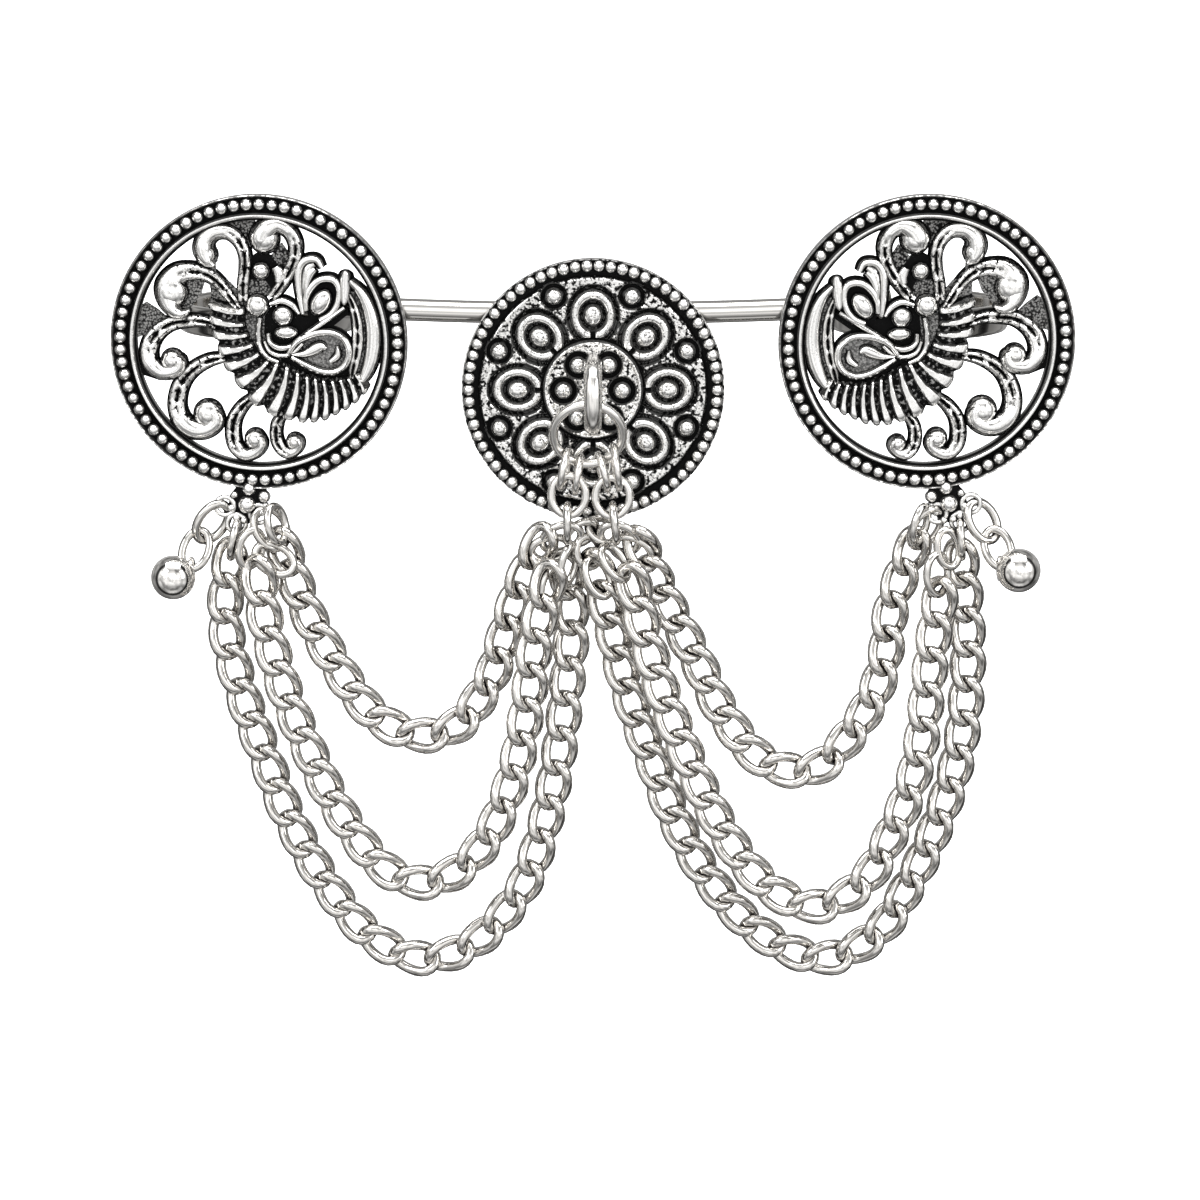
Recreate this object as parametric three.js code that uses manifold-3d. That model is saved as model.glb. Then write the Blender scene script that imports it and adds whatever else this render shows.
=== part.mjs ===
// Two-finger ring: a soldered bar with two finger loops and three medallions, and six swags of
// curb chain. Millimetres, +Z up, the faces look towards -Y, the origin is the middle of the bar.
import * as THREE from "three";
import { mergeVertices } from "three/addons/utils/BufferGeometryUtils.js";
import Module from "manifold-3d";

const wasm = await Module();
wasm.setup();

// Driving sizes
const BAR = { radius: 1.15, halfLength: 30, rise: 0.9, sides: 8, steps: 14 };
const LOOP = { innerRadius: 8.2, wall: 1.1, width: 3.0, gap: 4.6, midZ: -0.8, segments: 26 };
const PLATE = { back: -0.95, front: -2.35, rimFront: -2.95 };
const OUTER = { centreX: 33.77, centreZ: -2.37, radius: 15.0, openingRadius: 12.25 };
const MIDDLE = { centreX: 0, centreZ: -7.15, radius: 13.3, rimInner: 11.6, bossFront: -2.75 };
const STAPLE = { halfSpan: 2.8, wire: 0.85, straightTo: -7.4, front: -9.3 };
const WIRE = 0.42;
const LINK = { halfLength: 2.26, halfWidth: 1.45, twist: 0.58, pitch: 3.72, wire: 0.5 };
const BALL_RADIUS = 2.25;

// Small faces left by joining are evened out to this size
const EVEN_OUT = 0.03;

// Finishes
const brightSilver = new THREE.MeshStandardMaterial({ color: 0xcfcbc4, roughness: 0.22, metalness: 1 });
const antiqueSilver = new THREE.MeshStandardMaterial({ color: 0xa8a6a1, roughness: 0.38, metalness: 1 });

// Shapes to solids and back

function solidOf(geometry) {
  const bare = geometry.clone();
  bare.deleteAttribute("normal");
  bare.deleteAttribute("uv");
  const merged = mergeVertices(bare, 1e-4);
  const mesh = new wasm.Mesh({
    numProp: 3,
    vertProperties: new Float32Array(merged.attributes.position.array),
    triVerts: new Uint32Array(merged.index.array),
  });
  return new wasm.Manifold(mesh);
}

function geometryOf(solid) {
  const mesh = solid.getMesh();
  const geometry = new THREE.BufferGeometry();
  geometry.setAttribute("position", new THREE.BufferAttribute(mesh.vertProperties, mesh.numProp));
  geometry.setIndex(new THREE.BufferAttribute(mesh.triVerts, 1));
  const flat = geometry.toNonIndexed();
  flat.computeVertexNormals();
  return flat;
}

function joined(geometries) {
  return geometries.map(solidOf).reduce((sum, next) => sum.add(next));
}

function namedMesh(name, geometry, material) {
  const mesh = new THREE.Mesh(geometry, material);
  mesh.name = name;
  return mesh;
}

function moved(geometry, x, y, z) {
  return geometry.clone().translate(x, y, z);
}

// A ball with few faces.
function bead(x, y, z, radius, detail = 1) {
  return moved(new THREE.IcosahedronGeometry(radius, detail), x, y, z);
}

// A round post whose axis runs front to back.
function post(x, z, radius, back, front, sides = 10) {
  const shape = new THREE.CylinderGeometry(radius, radius, back - front, sides);
  return moved(shape, x, (back + front) / 2, z);
}

// A round bar along points given as [x, y, z].
function bentBar(points, radius, sides, steps) {
  const path = new THREE.CatmullRomCurve3(points.map((p) => new THREE.Vector3(...p)), false, "centripetal");
  const section = new THREE.Shape();
  for (let i = 0; i < sides; i += 1) {
    const angle = (2 * Math.PI * i) / sides;
    const place = [radius * Math.cos(angle), radius * Math.sin(angle)];
    if (i === 0) section.moveTo(...place);
    else section.lineTo(...place);
  }
  section.closePath();
  return new THREE.ExtrudeGeometry(section, { steps, extrudePath: path, bevelEnabled: false });
}

// A flat outline given as [x, z] about a centre, with its thickness from back to front.
function flatPlate(outline, back, front) {
  const shape = new THREE.Shape(outline.map(([x, z]) => new THREE.Vector2(x, z)));
  const plate = new THREE.ExtrudeGeometry(shape, { depth: back - front, bevelEnabled: false });
  plate.rotateX(Math.PI / 2);
  return plate.translate(0, back, 0);
}

// A turned ring or disc about the front-to-back axis; the profile holds [radius, y] corners.
function turned(profile, segments) {
  const closed = [...profile, profile[0]].map(([r, y]) => new THREE.Vector2(r, y));
  return new THREE.LatheGeometry(closed, segments);
}

// One closed loop of wire. Its long way is upright, and twist lifts its quarters in turn to the
// front and the back, as the links of a curb chain are twisted to lie flat.
class LoopPath extends THREE.Curve {
  constructor(halfLength, halfWidth, twist) {
    super();
    this.halfLength = halfLength;
    this.halfWidth = halfWidth;
    this.twist = twist;
  }

  getPoint(t, target = new THREE.Vector3()) {
    const angle = 2 * Math.PI * t;
    const across = this.halfWidth * Math.sin(angle);
    const along = this.halfLength * Math.cos(angle);
    return target.set(across, -this.twist * Math.sin(2 * angle), along);
  }
}

function wireLoop({ halfLength, halfWidth, twist = 0, wire = WIRE, steps = 12, sides = 5 }) {
  return new THREE.TubeGeometry(new LoopPath(halfLength, halfWidth, twist), steps, wire, sides, true);
}

// Bar and finger loops

function bar() {
  const points = [];
  for (const part of [-1, -0.66, -0.33, 0, 0.33, 0.66, 1]) {
    points.push([part * BAR.halfLength, 0, BAR.rise * part * part]);
  }
  return bentBar(points, BAR.radius, BAR.sides, BAR.steps);
}

// An open band round the finger, its gap at the back.
function fingerLoop(centreX) {
  const outer = LOOP.innerRadius + LOOP.wall;
  const middleY = PLATE.back + outer - 0.15;
  const halfGap = Math.asin(LOOP.gap / 2 / LOOP.innerRadius);
  const start = Math.PI / 2 + halfGap;
  const sweep = 2 * Math.PI - 2 * halfGap;
  const outline = [];
  for (let i = 0; i <= LOOP.segments; i += 1) {
    const angle = start + (sweep * i) / LOOP.segments;
    outline.push(new THREE.Vector2(outer * Math.cos(angle), outer * Math.sin(angle)));
  }
  for (let i = LOOP.segments; i >= 0; i -= 1) {
    const angle = start + (sweep * i) / LOOP.segments;
    outline.push(new THREE.Vector2(LOOP.innerRadius * Math.cos(angle), LOOP.innerRadius * Math.sin(angle)));
  }
  const band = new THREE.ExtrudeGeometry(new THREE.Shape(outline), { depth: LOOP.width, bevelEnabled: false });
  return moved(band, centreX, middleY, LOOP.midZ - LOOP.width / 2);
}

// Outer medallions: an openwork peacock in a round rim

// Each scroll runs from the body to the rim and curls round a ball; [x, z] from the centre.
const SCROLLS = [
  { path: [[-1.4, 4.3], [-1.2, 8.1], [-2.1, 10.6], [-4.2, 11.2], [-5.6, 10]], ball: [-5.1, 8.8], size: 1.1 },
  { path: [[1.2, 4.7], [3.6, 7.1], [3.9, 9.7], [2.2, 11.6]], ball: [0.7, 10.4], size: 1.45 },
  { path: [[-2.9, 4.3], [-5.5, 6.9], [-7.6, 7.3], [-9.3, 6.4]], ball: [-9.1, 5], size: 1.5 },
  { path: [[-4.3, 1.4], [-7.6, 2.3], [-10.4, 1.2], [-11.4, -1.2], [-10.2, -2.8]], ball: [-8.9, -2], size: 1.2 },
  { path: [[-3.2, -1.7], [-6, -2.4], [-7.8, -4.6], [-8.2, -7.2], [-7, -8.7]], ball: [-5.5, -7.6], size: 1.5 },
  { path: [[-0.6, -5.5], [-2.5, -7.2], [-2.9, -9.3], [-2, -11.2]], ball: [-0.7, -10.1], size: 1.15 },
  { path: [[2.2, -7], [1.5, -8.8], [1.8, -10.6], [3, -11.4]], ball: [3.6, -10.4], size: 0.95 },
];
const BODY_OUTER = [[-1.3, 4.4], [-4.7, 4.3], [-4.4, 0.9], [-3.2, -2.2], [-0.6, -5.7], [2.9, -7.2], [6.4, -7.6], [9.6, -6.4]];
const BODY_INNER = [[10.9, -4.2], [7.5, -2.9], [3.6, -2.2], [3.6, 3], [1.2, 4.6]];
const CRESCENT = [[8.9, 6.9], [10.6, 5.2], [11.7, 1.8], [11.6, -1.2], [10.4, -4.6]];
const HEAD_BEADS = [
  { x: 0, z: 3.7, radius: 1.05 },
  { x: 2.5, z: 2.5, radius: 1.0 },
  { x: 2.6, z: 1.0, radius: 1.1 },
];
const LUG = { x: -2.0, z: -16.6, radius: 1.45 };
const EYES = [
  { x: -3.85, z: -16.8 },
  { x: -2.7, z: -18.6 },
  { x: -0.35, z: -17.6 },
];
const EYE = { radius: 1.35, hole: 0.88, back: -1.85, front: -2.55 };

function outerMedallion() {
  const midY = (PLATE.back + PLATE.front) / 2;
  const pieces = [
    turned([
      [OUTER.openingRadius, PLATE.back],
      [OUTER.openingRadius, PLATE.rimFront],
      [OUTER.radius - 0.1, PLATE.rimFront],
      [OUTER.radius, PLATE.rimFront + 0.3],
      [OUTER.radius, PLATE.back],
    ], 36),
    flatPlate([...BODY_OUTER, ...BODY_INNER], PLATE.back, PLATE.front),
    bentBar(CRESCENT.map(([x, z]) => [x, midY, z]), 0.95, 5, 6),
  ];
  for (const scroll of SCROLLS) {
    const points = scroll.path.map(([x, z]) => [x, midY, z]);
    pieces.push(bentBar(points, 0.85, 5, 6));
    pieces.push(bead(scroll.ball[0], midY, scroll.ball[1], scroll.size));
  }
  for (const { x, z, radius } of HEAD_BEADS) pieces.push(bead(x, PLATE.front + 0.4, z, radius));
  const wing = wireLoop({ halfLength: 3.3, halfWidth: 1.9, wire: 0.6 });
  pieces.push(moved(wing.rotateY(1.45), 6.2, PLATE.front, -1.2));
  const eyeRing = wireLoop({ halfLength: 2.2, halfWidth: 1.7, wire: 0.6, steps: 12 });
  pieces.push(moved(eyeRing.rotateY(0.35), 6.2, midY, 3.9));
  pieces.push(bentBar([[4.6, midY, 0.6], [5.0, midY, 4], [4.9, midY, 7.2]], 0.6, 6, 4));
  pieces.push(bentBar([[7.2, midY, 5.4], [8.8, midY, 5.6], [9.8, midY, 5.8]], 0.7, 6, 3));
  pieces.push(post(LUG.x, LUG.z, LUG.radius, -1.5, PLATE.rimFront));
  pieces.push(post(LUG.x + 0.2, LUG.z + 1.6, 1.3, -1.5, PLATE.rimFront));
  for (const eye of EYES) pieces.push(post(eye.x, eye.z, EYE.radius, EYE.back, EYE.front, 8));
  let solid = joined(pieces);
  for (const eye of EYES) solid = solid.subtract(solidOf(post(eye.x, eye.z, EYE.hole, -1, -4, 8)));
  return geometryOf(solid);
}

// The right medallion is the mirror casting, turned a little so its lug leans outwards.
const RIGHT_TURN = 0.06;

function placedMedallion(side) {
  const shape = mergeVertices(outerMedallion(), 1e-4);
  if (side > 0) {
    shape.scale(-1, 1, 1);
    const index = shape.index.array;
    for (let i = 0; i < index.length; i += 3) [index[i], index[i + 1]] = [index[i + 1], index[i]];
    shape.rotateY(-RIGHT_TURN);
  }
  return shape.translate(side * OUTER.centreX, 0, OUTER.centreZ);
}

// Middle medallion: a solid disc with domed bosses and the staple that carries the chains

function middleMedallion() {
  const pieces = [
    turned([
      [0, PLATE.back],
      [0, PLATE.front],
      [MIDDLE.rimInner, PLATE.front],
      [MIDDLE.rimInner, PLATE.rimFront],
      [MIDDLE.radius - 0.1, PLATE.rimFront],
      [MIDDLE.radius, PLATE.rimFront + 0.3],
      [MIDDLE.radius, PLATE.back],
    ], 36),
  ];
  for (let i = 0; i < 8; i += 1) {
    const large = (Math.PI * i) / 4;
    const small = large + Math.PI / 8;
    pieces.push(post(7.4 * Math.sin(large), 7.4 * Math.cos(large), 0.85, PLATE.front + 0.3, MIDDLE.bossFront, 6));
    pieces.push(post(10.1 * Math.sin(small), 10.1 * Math.cos(small), 0.8, PLATE.front + 0.3, MIDDLE.bossFront, 6));
  }
  const staple = [];
  staple.push([0, PLATE.front + 0.6, STAPLE.halfSpan], [0, STAPLE.straightTo, STAPLE.halfSpan]);
  const bow = STAPLE.straightTo - STAPLE.front;
  for (let i = 1; i < 6; i += 1) {
    const angle = (Math.PI * i) / 6;
    staple.push([0, STAPLE.straightTo - bow * Math.sin(angle), STAPLE.halfSpan * Math.cos(angle)]);
  }
  staple.push([0, STAPLE.straightTo, -STAPLE.halfSpan], [0, PLATE.front + 0.6, -STAPLE.halfSpan]);
  pieces.push(bentBar(staple, STAPLE.wire, 7, 14));
  return pieces.map((piece) => moved(piece, MIDDLE.centreX, 0, MIDDLE.centreZ));
}

function ringFrame() {
  const pieces = [
    bar(),
    fingerLoop(-OUTER.centreX),
    fingerLoop(OUTER.centreX),
    ...middleMedallion(),
    placedMedallion(-1),
    placedMedallion(1),
  ];
  return geometryOf(joined(pieces).simplify(EVEN_OUT));
}

// Rings and single links. swing turns a loop in the plane of the face, lean tips its top to the
// front and turn is about its own long axis, all in degrees; 90 of turn shows a loop edge on.
const LOOPS = [
  { name: "centre_ring", at: [-0.5, -6.0, -11.6], size: [3.45, 3.45], wire: 0.47, lean: 22 },
  { name: "small_ring_1", at: [-2.75, -5.15, -14.8], size: [1.95, 1.95], turn: 90, swing: 12 },
  { name: "small_ring_2", at: [-1.6, -4.95, -15.4], size: [1.85, 1.85], turn: 90, swing: 10 },
  { name: "small_ring_3", at: [1.05, -5.0, -15.15], size: [1.85, 1.85], turn: 90, swing: -8 },
  { name: "small_ring_4", at: [2.05, -5.3, -14.6], size: [2.2, 2.2], turn: 90, swing: -10 },
  { name: "left_hanger_link", at: [-2.48, -5.2, -17.5], size: [2.05, 1.75] },
  { name: "right_hanger_link", at: [1.97, -5.25, -17.65], size: [2.0, 1.75] },
  { name: "left_drop_link", at: [-2.6, -5.3, -20.35], size: [1.85, 1.25], turn: 90 },
  { name: "right_drop_link", at: [2.2, -5.3, -20.35], size: [1.9, 1.25], turn: 90, swing: -6 },
  { name: "left_gather_ring", at: [-3.2, -3.8, -22.2], size: [1.95, 1.95], lean: 62, swing: -10 },
  { name: "right_gather_ring", at: [2.7, -3.8, -22.2], size: [1.95, 1.95], lean: 62, swing: 12 },
  { name: "left_lug_ring", at: [-33.0, -2.2, -21.5], size: [1.85, 1.85], turn: 75, swing: -37 },
  { name: "left_lug_link", at: [-36.75, -2.2, -22.65], size: [1.9, 1.3], turn: 85, swing: 12 },
  { name: "left_ball_link_1", at: [-39.0, -2.2, -20.85], size: [2.2, 1.4], turn: 75, swing: 34 },
  { name: "left_ball_link_2", at: [-40.65, -3.05, -23.55], size: [2.1, 1.3], lean: -25, swing: 20 },
  { name: "right_lug_ring", at: [34.05, -2.2, -21.45], size: [1.85, 1.85], turn: 75, swing: 37 },
  { name: "right_lug_link", at: [37.7, -2.2, -22.6], size: [1.9, 1.3], turn: 85, swing: -4 },
  { name: "right_ball_link_1", at: [39.87, -2.2, -20.75], size: [2.2, 1.4], turn: 75, swing: -32 },
  { name: "right_ball_link_2", at: [41.4, -3.1, -23.4], size: [2.1, 1.3], lean: -25, swing: -20 },
];

function placedLoop({ name, at, size, twist = 0, wire = WIRE, lean = 0, turn = 0, swing = 0 }) {
  const shape = wireLoop({ halfLength: size[0], halfWidth: size[1], twist, wire });
  const mesh = namedMesh(name, shape, brightSilver);
  mesh.position.set(...at);
  mesh.rotation.set(...[lean, swing, turn].map(THREE.MathUtils.degToRad), "YXZ");
  return mesh;
}

// Balls on the ends of the two short drops, each with a stalk and an eye round the last link
const BALLS = [
  { name: "left_ball", at: [-42.8, -6.35, -25.75], eye: [1.6, 2.3, 0.3] },
  { name: "right_ball", at: [43.58, -6.45, -25.0], eye: [-1.6, 2.3, -0.3] },
];

function ballDrop({ name, at, eye }) {
  const loop = wireLoop({ halfLength: 1.05, halfWidth: 1.05, wire: 0.3, steps: 10 }).rotateZ(Math.PI / 2);
  const stalkEnd = eye.map((part) => part * 0.72);
  const stalk = bentBar([[0, 0, 0], stalkEnd.map((part) => part / 2), stalkEnd], 0.35, 6, 2);
  const solid = joined([bead(0, 0, 0, BALL_RADIUS, 2), stalk, moved(loop, ...eye)]);
  const mesh = namedMesh(name, geometryOf(solid), brightSilver);
  mesh.position.set(...at);
  return mesh;
}

// Swags of curb chain. Each route holds link-centre points [x, y, z] from the outer lug to the middle.
const SWAGS = [
  {
    name: "left_chain_outer",
    route: [
      [-37.25, -2.2, -25.1], [-37.9, -2.2, -31], [-36.6, -2.1, -37.9], [-34.3, -2, -45.1], [-31.8, -2, -52.2],
      [-28, -2, -59.5], [-23.3, -2, -65.4], [-18.2, -2, -67.8], [-12.9, -2, -66.3], [-7.7, -2, -60.5],
      [-5.1, -2, -53.2], [-3.6, -2, -45.7], [-2.7, -2, -38.2], [-2.2, -1.9, -31.3], [-2.7, -1.9, -26.4],
    ],
  },
  {
    name: "left_chain_middle",
    route: [
      [-34.1, -3.8, -26.6], [-33.6, -3.8, -30.7], [-31.8, -3.5, -38.2], [-29.3, -3.5, -44.9], [-26.2, -3.5, -51.5],
      [-21.6, -3.5, -57.6], [-17.6, -3.5, -59], [-13.6, -3.5, -57.3], [-10.3, -3.5, -52.9], [-7.9, -3.5, -46],
      [-6.6, -3.9, -38.7], [-5.9, -4.5, -33], [-4.6, -5, -26.8],
    ],
  },
  {
    name: "left_chain_inner",
    route: [
      [-31.6, -2, -23.9], [-29.6, -2, -30], [-27.2, -2.2, -34.7], [-23.2, -2.2, -40.7], [-19, -2.2, -43.3],
      [-14.5, -2.3, -42.6], [-10.8, -2.4, -37.7], [-8.9, -2.2, -32], [-7.5, -2.6, -27.6], [-5.55, -3.6, -23.15],
    ],
  },
  {
    name: "right_chain_outer",
    route: [
      [37.8, -2.1, -25.1], [38.5, -2, -30.5], [38.7, -2.2, -38], [38, -2.1, -45.5], [36, -2, -52.9],
      [33.1, -2, -59.8], [29.5, -2, -65.4], [24, -2, -67.8], [17.6, -2, -65], [12.4, -2, -59.4],
      [8.7, -2, -52.8], [6, -2, -45.6], [3.6, -2.2, -38.6], [1.9, -2.8, -31.6], [0.5, -3.9, -25.7],
    ],
  },
  {
    name: "right_chain_middle",
    route: [
      [35.5, -3.8, -28.9], [34.9, -3.7, -33.4], [34.4, -3.5, -39.5], [33.5, -3.5, -46.6], [31.2, -3.5, -53.4],
      [27.6, -3.5, -59.6], [22.4, -3.5, -61.6], [17.1, -3.5, -58.3], [12.9, -3.5, -52.1], [9.7, -3.8, -45.1],
      [7, -4.2, -37.8], [5.2, -4.8, -31.4], [4.2, -4.9, -27],
    ],
  },
  {
    name: "right_chain_inner",
    route: [
      [32.65, -2.1, -23.9], [31.4, -2, -27.4], [30.7, -2, -30], [29.8, -2.2, -37], [27, -2.2, -42.9],
      [23, -2.2, -47], [18.2, -2.2, -46.5], [13.8, -2.2, -41.6], [10.6, -2.2, -35.1], [7.2, -2.5, -28.4],
      [5.05, -3.65, -23.3],
    ],
  },
];
const linkShape = wireLoop({ ...LINK, steps: 6, sides: 4 });

function swag({ name, route }) {
  const path = new THREE.CatmullRomCurve3(route.map((p) => new THREE.Vector3(...p)), false, "centripetal");
  const spaces = Math.round(path.getLength() / LINK.pitch);
  const links = [];
  for (let i = 0; i <= spaces; i += 1) {
    const place = path.getPointAt(i / spaces);
    const along = path.getTangentAt(i / spaces).negate();
    const towardsBack = new THREE.Vector3(0, 1, 0);
    const across = new THREE.Vector3().crossVectors(towardsBack, along).normalize();
    const through = new THREE.Vector3().crossVectors(along, across);
    const turn = new THREE.Matrix4().makeBasis(across, through, along).setPosition(place);
    links.push(linkShape.clone().applyMatrix4(turn));
  }
  return namedMesh(name, geometryOf(joined(links).simplify(EVEN_OUT)), brightSilver);
}

const twoFingerRing = new THREE.Group();
twoFingerRing.add(namedMesh("ring_frame", ringFrame(), antiqueSilver));
for (const row of LOOPS) twoFingerRing.add(placedLoop(row));
for (const row of BALLS) twoFingerRing.add(ballDrop(row));
for (const row of SWAGS) twoFingerRing.add(swag(row));

export default twoFingerRing;
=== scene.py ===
"""A two-finger ring: three cast medallions on a bar, and six swags of curb chain with two ball drops."""

import math

import bmesh
import bpy
from mathutils import Matrix, Vector


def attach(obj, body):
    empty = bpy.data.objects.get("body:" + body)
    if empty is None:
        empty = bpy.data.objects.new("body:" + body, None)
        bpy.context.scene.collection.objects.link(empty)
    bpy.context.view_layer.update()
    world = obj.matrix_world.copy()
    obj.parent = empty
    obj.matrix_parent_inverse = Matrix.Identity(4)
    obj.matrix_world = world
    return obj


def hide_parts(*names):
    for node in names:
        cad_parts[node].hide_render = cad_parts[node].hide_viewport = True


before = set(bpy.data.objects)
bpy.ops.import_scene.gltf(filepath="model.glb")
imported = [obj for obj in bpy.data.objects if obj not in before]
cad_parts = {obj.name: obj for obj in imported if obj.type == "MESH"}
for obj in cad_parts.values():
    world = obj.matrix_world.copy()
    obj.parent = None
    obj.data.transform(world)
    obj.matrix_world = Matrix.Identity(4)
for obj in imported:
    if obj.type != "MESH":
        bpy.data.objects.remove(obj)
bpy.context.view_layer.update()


# Camera
# The photograph looks slightly down on the face of the ring with a long lens, so nothing converges much.
AIM = Vector((0.00071, 0.0, -0.02953))
CAMERA_DISTANCE = 0.350
CAMERA_ELEVATION = math.radians(12.7)
camera_data = bpy.data.cameras.new("photo_camera")
camera_data.lens = 101.4
camera_data.sensor_width = 36
camera_data.clip_start = 0.01
camera = bpy.data.objects.new("photo_camera", camera_data)
towards_camera = Vector((0, -math.cos(CAMERA_ELEVATION), math.sin(CAMERA_ELEVATION)))
camera.location = AIM + CAMERA_DISTANCE * towards_camera
camera.rotation_euler = (math.pi / 2 - CAMERA_ELEVATION, 0, 0)
bpy.context.scene.collection.objects.link(camera)
bpy.context.scene.camera = camera
bpy.context.scene.view_settings.view_transform = "Standard"


# Floor and light
# A matt white sheet, level under the ring and curved up behind it, in a light tent. The tent is
# bright in front and behind with a grey seam at the sides, which draws soft lines in the metal.
FLOOR_Z = -0.20
WALL_Y = 0.50
SHEET_HALF_WIDTH = 1.2
SHEET_BEND = 0.25

sheet_profile = [(-1.2, FLOOR_Z), (WALL_Y - SHEET_BEND, FLOOR_Z)]
for step in range(1, 12):
    angle = math.pi / 2 * step / 12
    sheet_profile.append((
        WALL_Y - SHEET_BEND + SHEET_BEND * math.sin(angle),
        FLOOR_Z + SHEET_BEND - SHEET_BEND * math.cos(angle),
    ))
sheet_profile.append((WALL_Y, FLOOR_Z + SHEET_BEND))
sheet_profile.append((WALL_Y, 1.2))
sheet_mesh = bpy.data.meshes.new("white_sheet")
sheet_corners = []
for y, z in sheet_profile:
    sheet_corners += [(-SHEET_HALF_WIDTH, y, z), (SHEET_HALF_WIDTH, y, z)]
sheet_faces = [(2 * i, 2 * i + 1, 2 * i + 3, 2 * i + 2) for i in range(len(sheet_profile) - 1)]
sheet_mesh.from_pydata(sheet_corners, [], sheet_faces)
white_sheet = bpy.data.objects.new("white_sheet", sheet_mesh)
bpy.context.scene.collection.objects.link(white_sheet)
white_sheet.visible_glossy = False
sheet_paint = bpy.data.materials.new("white_paper")
sheet_paint.use_nodes = True
paper = sheet_paint.node_tree.nodes["Principled BSDF"]
paper.inputs["Base Color"].default_value = (0.9, 0.9, 0.9, 1)
paper.inputs["Roughness"].default_value = 0.9
paper.inputs["Emission Color"].default_value = (1, 1, 1, 1)
paper.inputs["Emission Strength"].default_value = 0.55
sheet_mesh.materials.append(sheet_paint)


def soft_light(name, place, target, width, height, power):
    data = bpy.data.lights.new(name, "AREA")
    data.shape = "RECTANGLE"
    data.size = width
    data.size_y = height
    data.energy = power
    light = bpy.data.objects.new(name, data)
    light.location = place
    light.rotation_euler = (Vector(target) - Vector(place)).to_track_quat("-Z", "Y").to_euler()
    bpy.context.scene.collection.objects.link(light)


soft_light("left_softbox", (-0.42, -0.40, 0.34), (0, 0, -0.03), 0.30, 0.36, 1.1)
soft_light("right_softbox", (0.46, -0.30, 0.20), (0, 0, -0.03), 0.16, 0.40, 0.8)
soft_light("sheet_light", (0, -0.1, 0.95), (0, 0.3, -0.1), 1.2, 0.6, 14)

world = bpy.data.worlds.new("light_tent")
bpy.context.scene.world = world
world.use_nodes = True
tent = world.node_tree
tent.nodes.clear()


def set_inputs(tree, node, inputs):
    """Joins each of the inputs to a socket, or gives it a value."""
    for key, value in inputs.items():
        if isinstance(value, bpy.types.NodeSocket):
            tree.links.new(value, node.inputs[key])
        else:
            node.inputs[key].default_value = value


def add_node(tree, kind, inputs=None, **settings):
    node = tree.nodes.new(kind)
    for key, value in settings.items():
        setattr(node, key, value)
    set_inputs(tree, node, inputs or {})
    return node


def stretched(tree, value, low=0.0, high=1.0, to_low=0.0, to_high=1.0, **settings):
    """Maps a value from one range to another and returns the result's socket."""
    return add_node(tree, "ShaderNodeMapRange", {
        "Value": value, "From Min": low, "From Max": high, "To Min": to_low, "To Max": to_high,
    }, **settings).outputs["Result"]


def noise(tree, place, scale, detail=2.0):
    """Cloudy noise at a place; returns its socket."""
    values = {"Vector": place, "Scale": scale, "Detail": detail}
    return add_node(tree, "ShaderNodeTexNoise", values).outputs["Fac"]


def mixed(tree, factor, first, second, **settings):
    """Mixes two colours and returns the result's socket."""
    values = {"Factor": factor, "A": first, "B": second}
    return add_node(tree, "ShaderNodeMix", values, data_type="RGBA", **settings).outputs["Result"]


def grey_levels(tree, value, stops):
    """Grey levels along a value; returns the colour's socket."""
    node = add_node(tree, "ShaderNodeValToRGB", {"Fac": value})
    elements = node.color_ramp.elements
    while len(elements) > 1:
        elements.remove(elements[-1])
    elements[0].position = stops[0][0]
    elements[0].color = (stops[0][1],) * 3 + (1,)
    for place, level in stops[1:]:
        elements.new(place).color = (level,) * 3 + (1,)
    return node.outputs["Color"]


# How bright the tent is from below to above, from front to back, in its clouds and from left to right
HEIGHT_LEVELS = [
    (0.0, 0.50), (0.10, 0.30), (0.20, 0.26), (0.27, 0.50), (0.36, 0.75), (0.46, 0.66), (0.54, 0.95),
    (0.74, 1.0), (0.79, 0.55), (0.86, 0.45), (0.92, 0.80), (1.0, 0.9),
]
DEPTH_LEVELS = [
    (0.0, 1.05), (0.13, 1.05), (0.18, 0.62), (0.23, 0.62), (0.28, 1.05), (0.38, 1.05), (0.42, 0.10),
    (0.50, 0.03), (0.54, 0.10), (0.59, 0.40), (1.0, 0.34),
]
CLOUD_LEVELS = [(0.0, 0.50), (0.40, 0.60), (0.47, 0.98), (1.0, 1.10)]
WIDTH_LEVELS = [
    (0.0, 0.45), (0.10, 0.80), (0.24, 0.95), (0.32, 0.80), (0.42, 1.0), (0.58, 1.05), (0.68, 0.72),
    (0.80, 0.95), (0.92, 0.75), (1.0, 0.35),
]
TENT_STRENGTH = 1.7
direction = add_node(tent, "ShaderNodeTexCoord").outputs["Generated"]
axes = add_node(tent, "ShaderNodeSeparateXYZ", {0: direction}).outputs
tent_colour = grey_levels(tent, stretched(tent, axes["Z"], low=-1), HEIGHT_LEVELS)
for value, stops in (
    (stretched(tent, axes["Y"], low=-1), DEPTH_LEVELS),
    (noise(tent, direction, 2.6, 1.5), CLOUD_LEVELS),
    (stretched(tent, axes["X"], low=-1), WIDTH_LEVELS),
):
    tent_colour = mixed(tent, 1, tent_colour, grey_levels(tent, value, stops), blend_type="MULTIPLY")
tent_light = add_node(tent, "ShaderNodeBackground", {"Color": tent_colour, "Strength": TENT_STRENGTH})
tent_white = add_node(tent, "ShaderNodeBackground", {"Color": (1, 1, 1, 1)})
tent_choice = add_node(tent, "ShaderNodeMixShader", {
    "Fac": add_node(tent, "ShaderNodeLightPath").outputs["Is Camera Ray"],
    1: tent_light.outputs[0],
    2: tent_white.outputs[0],
})
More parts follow.
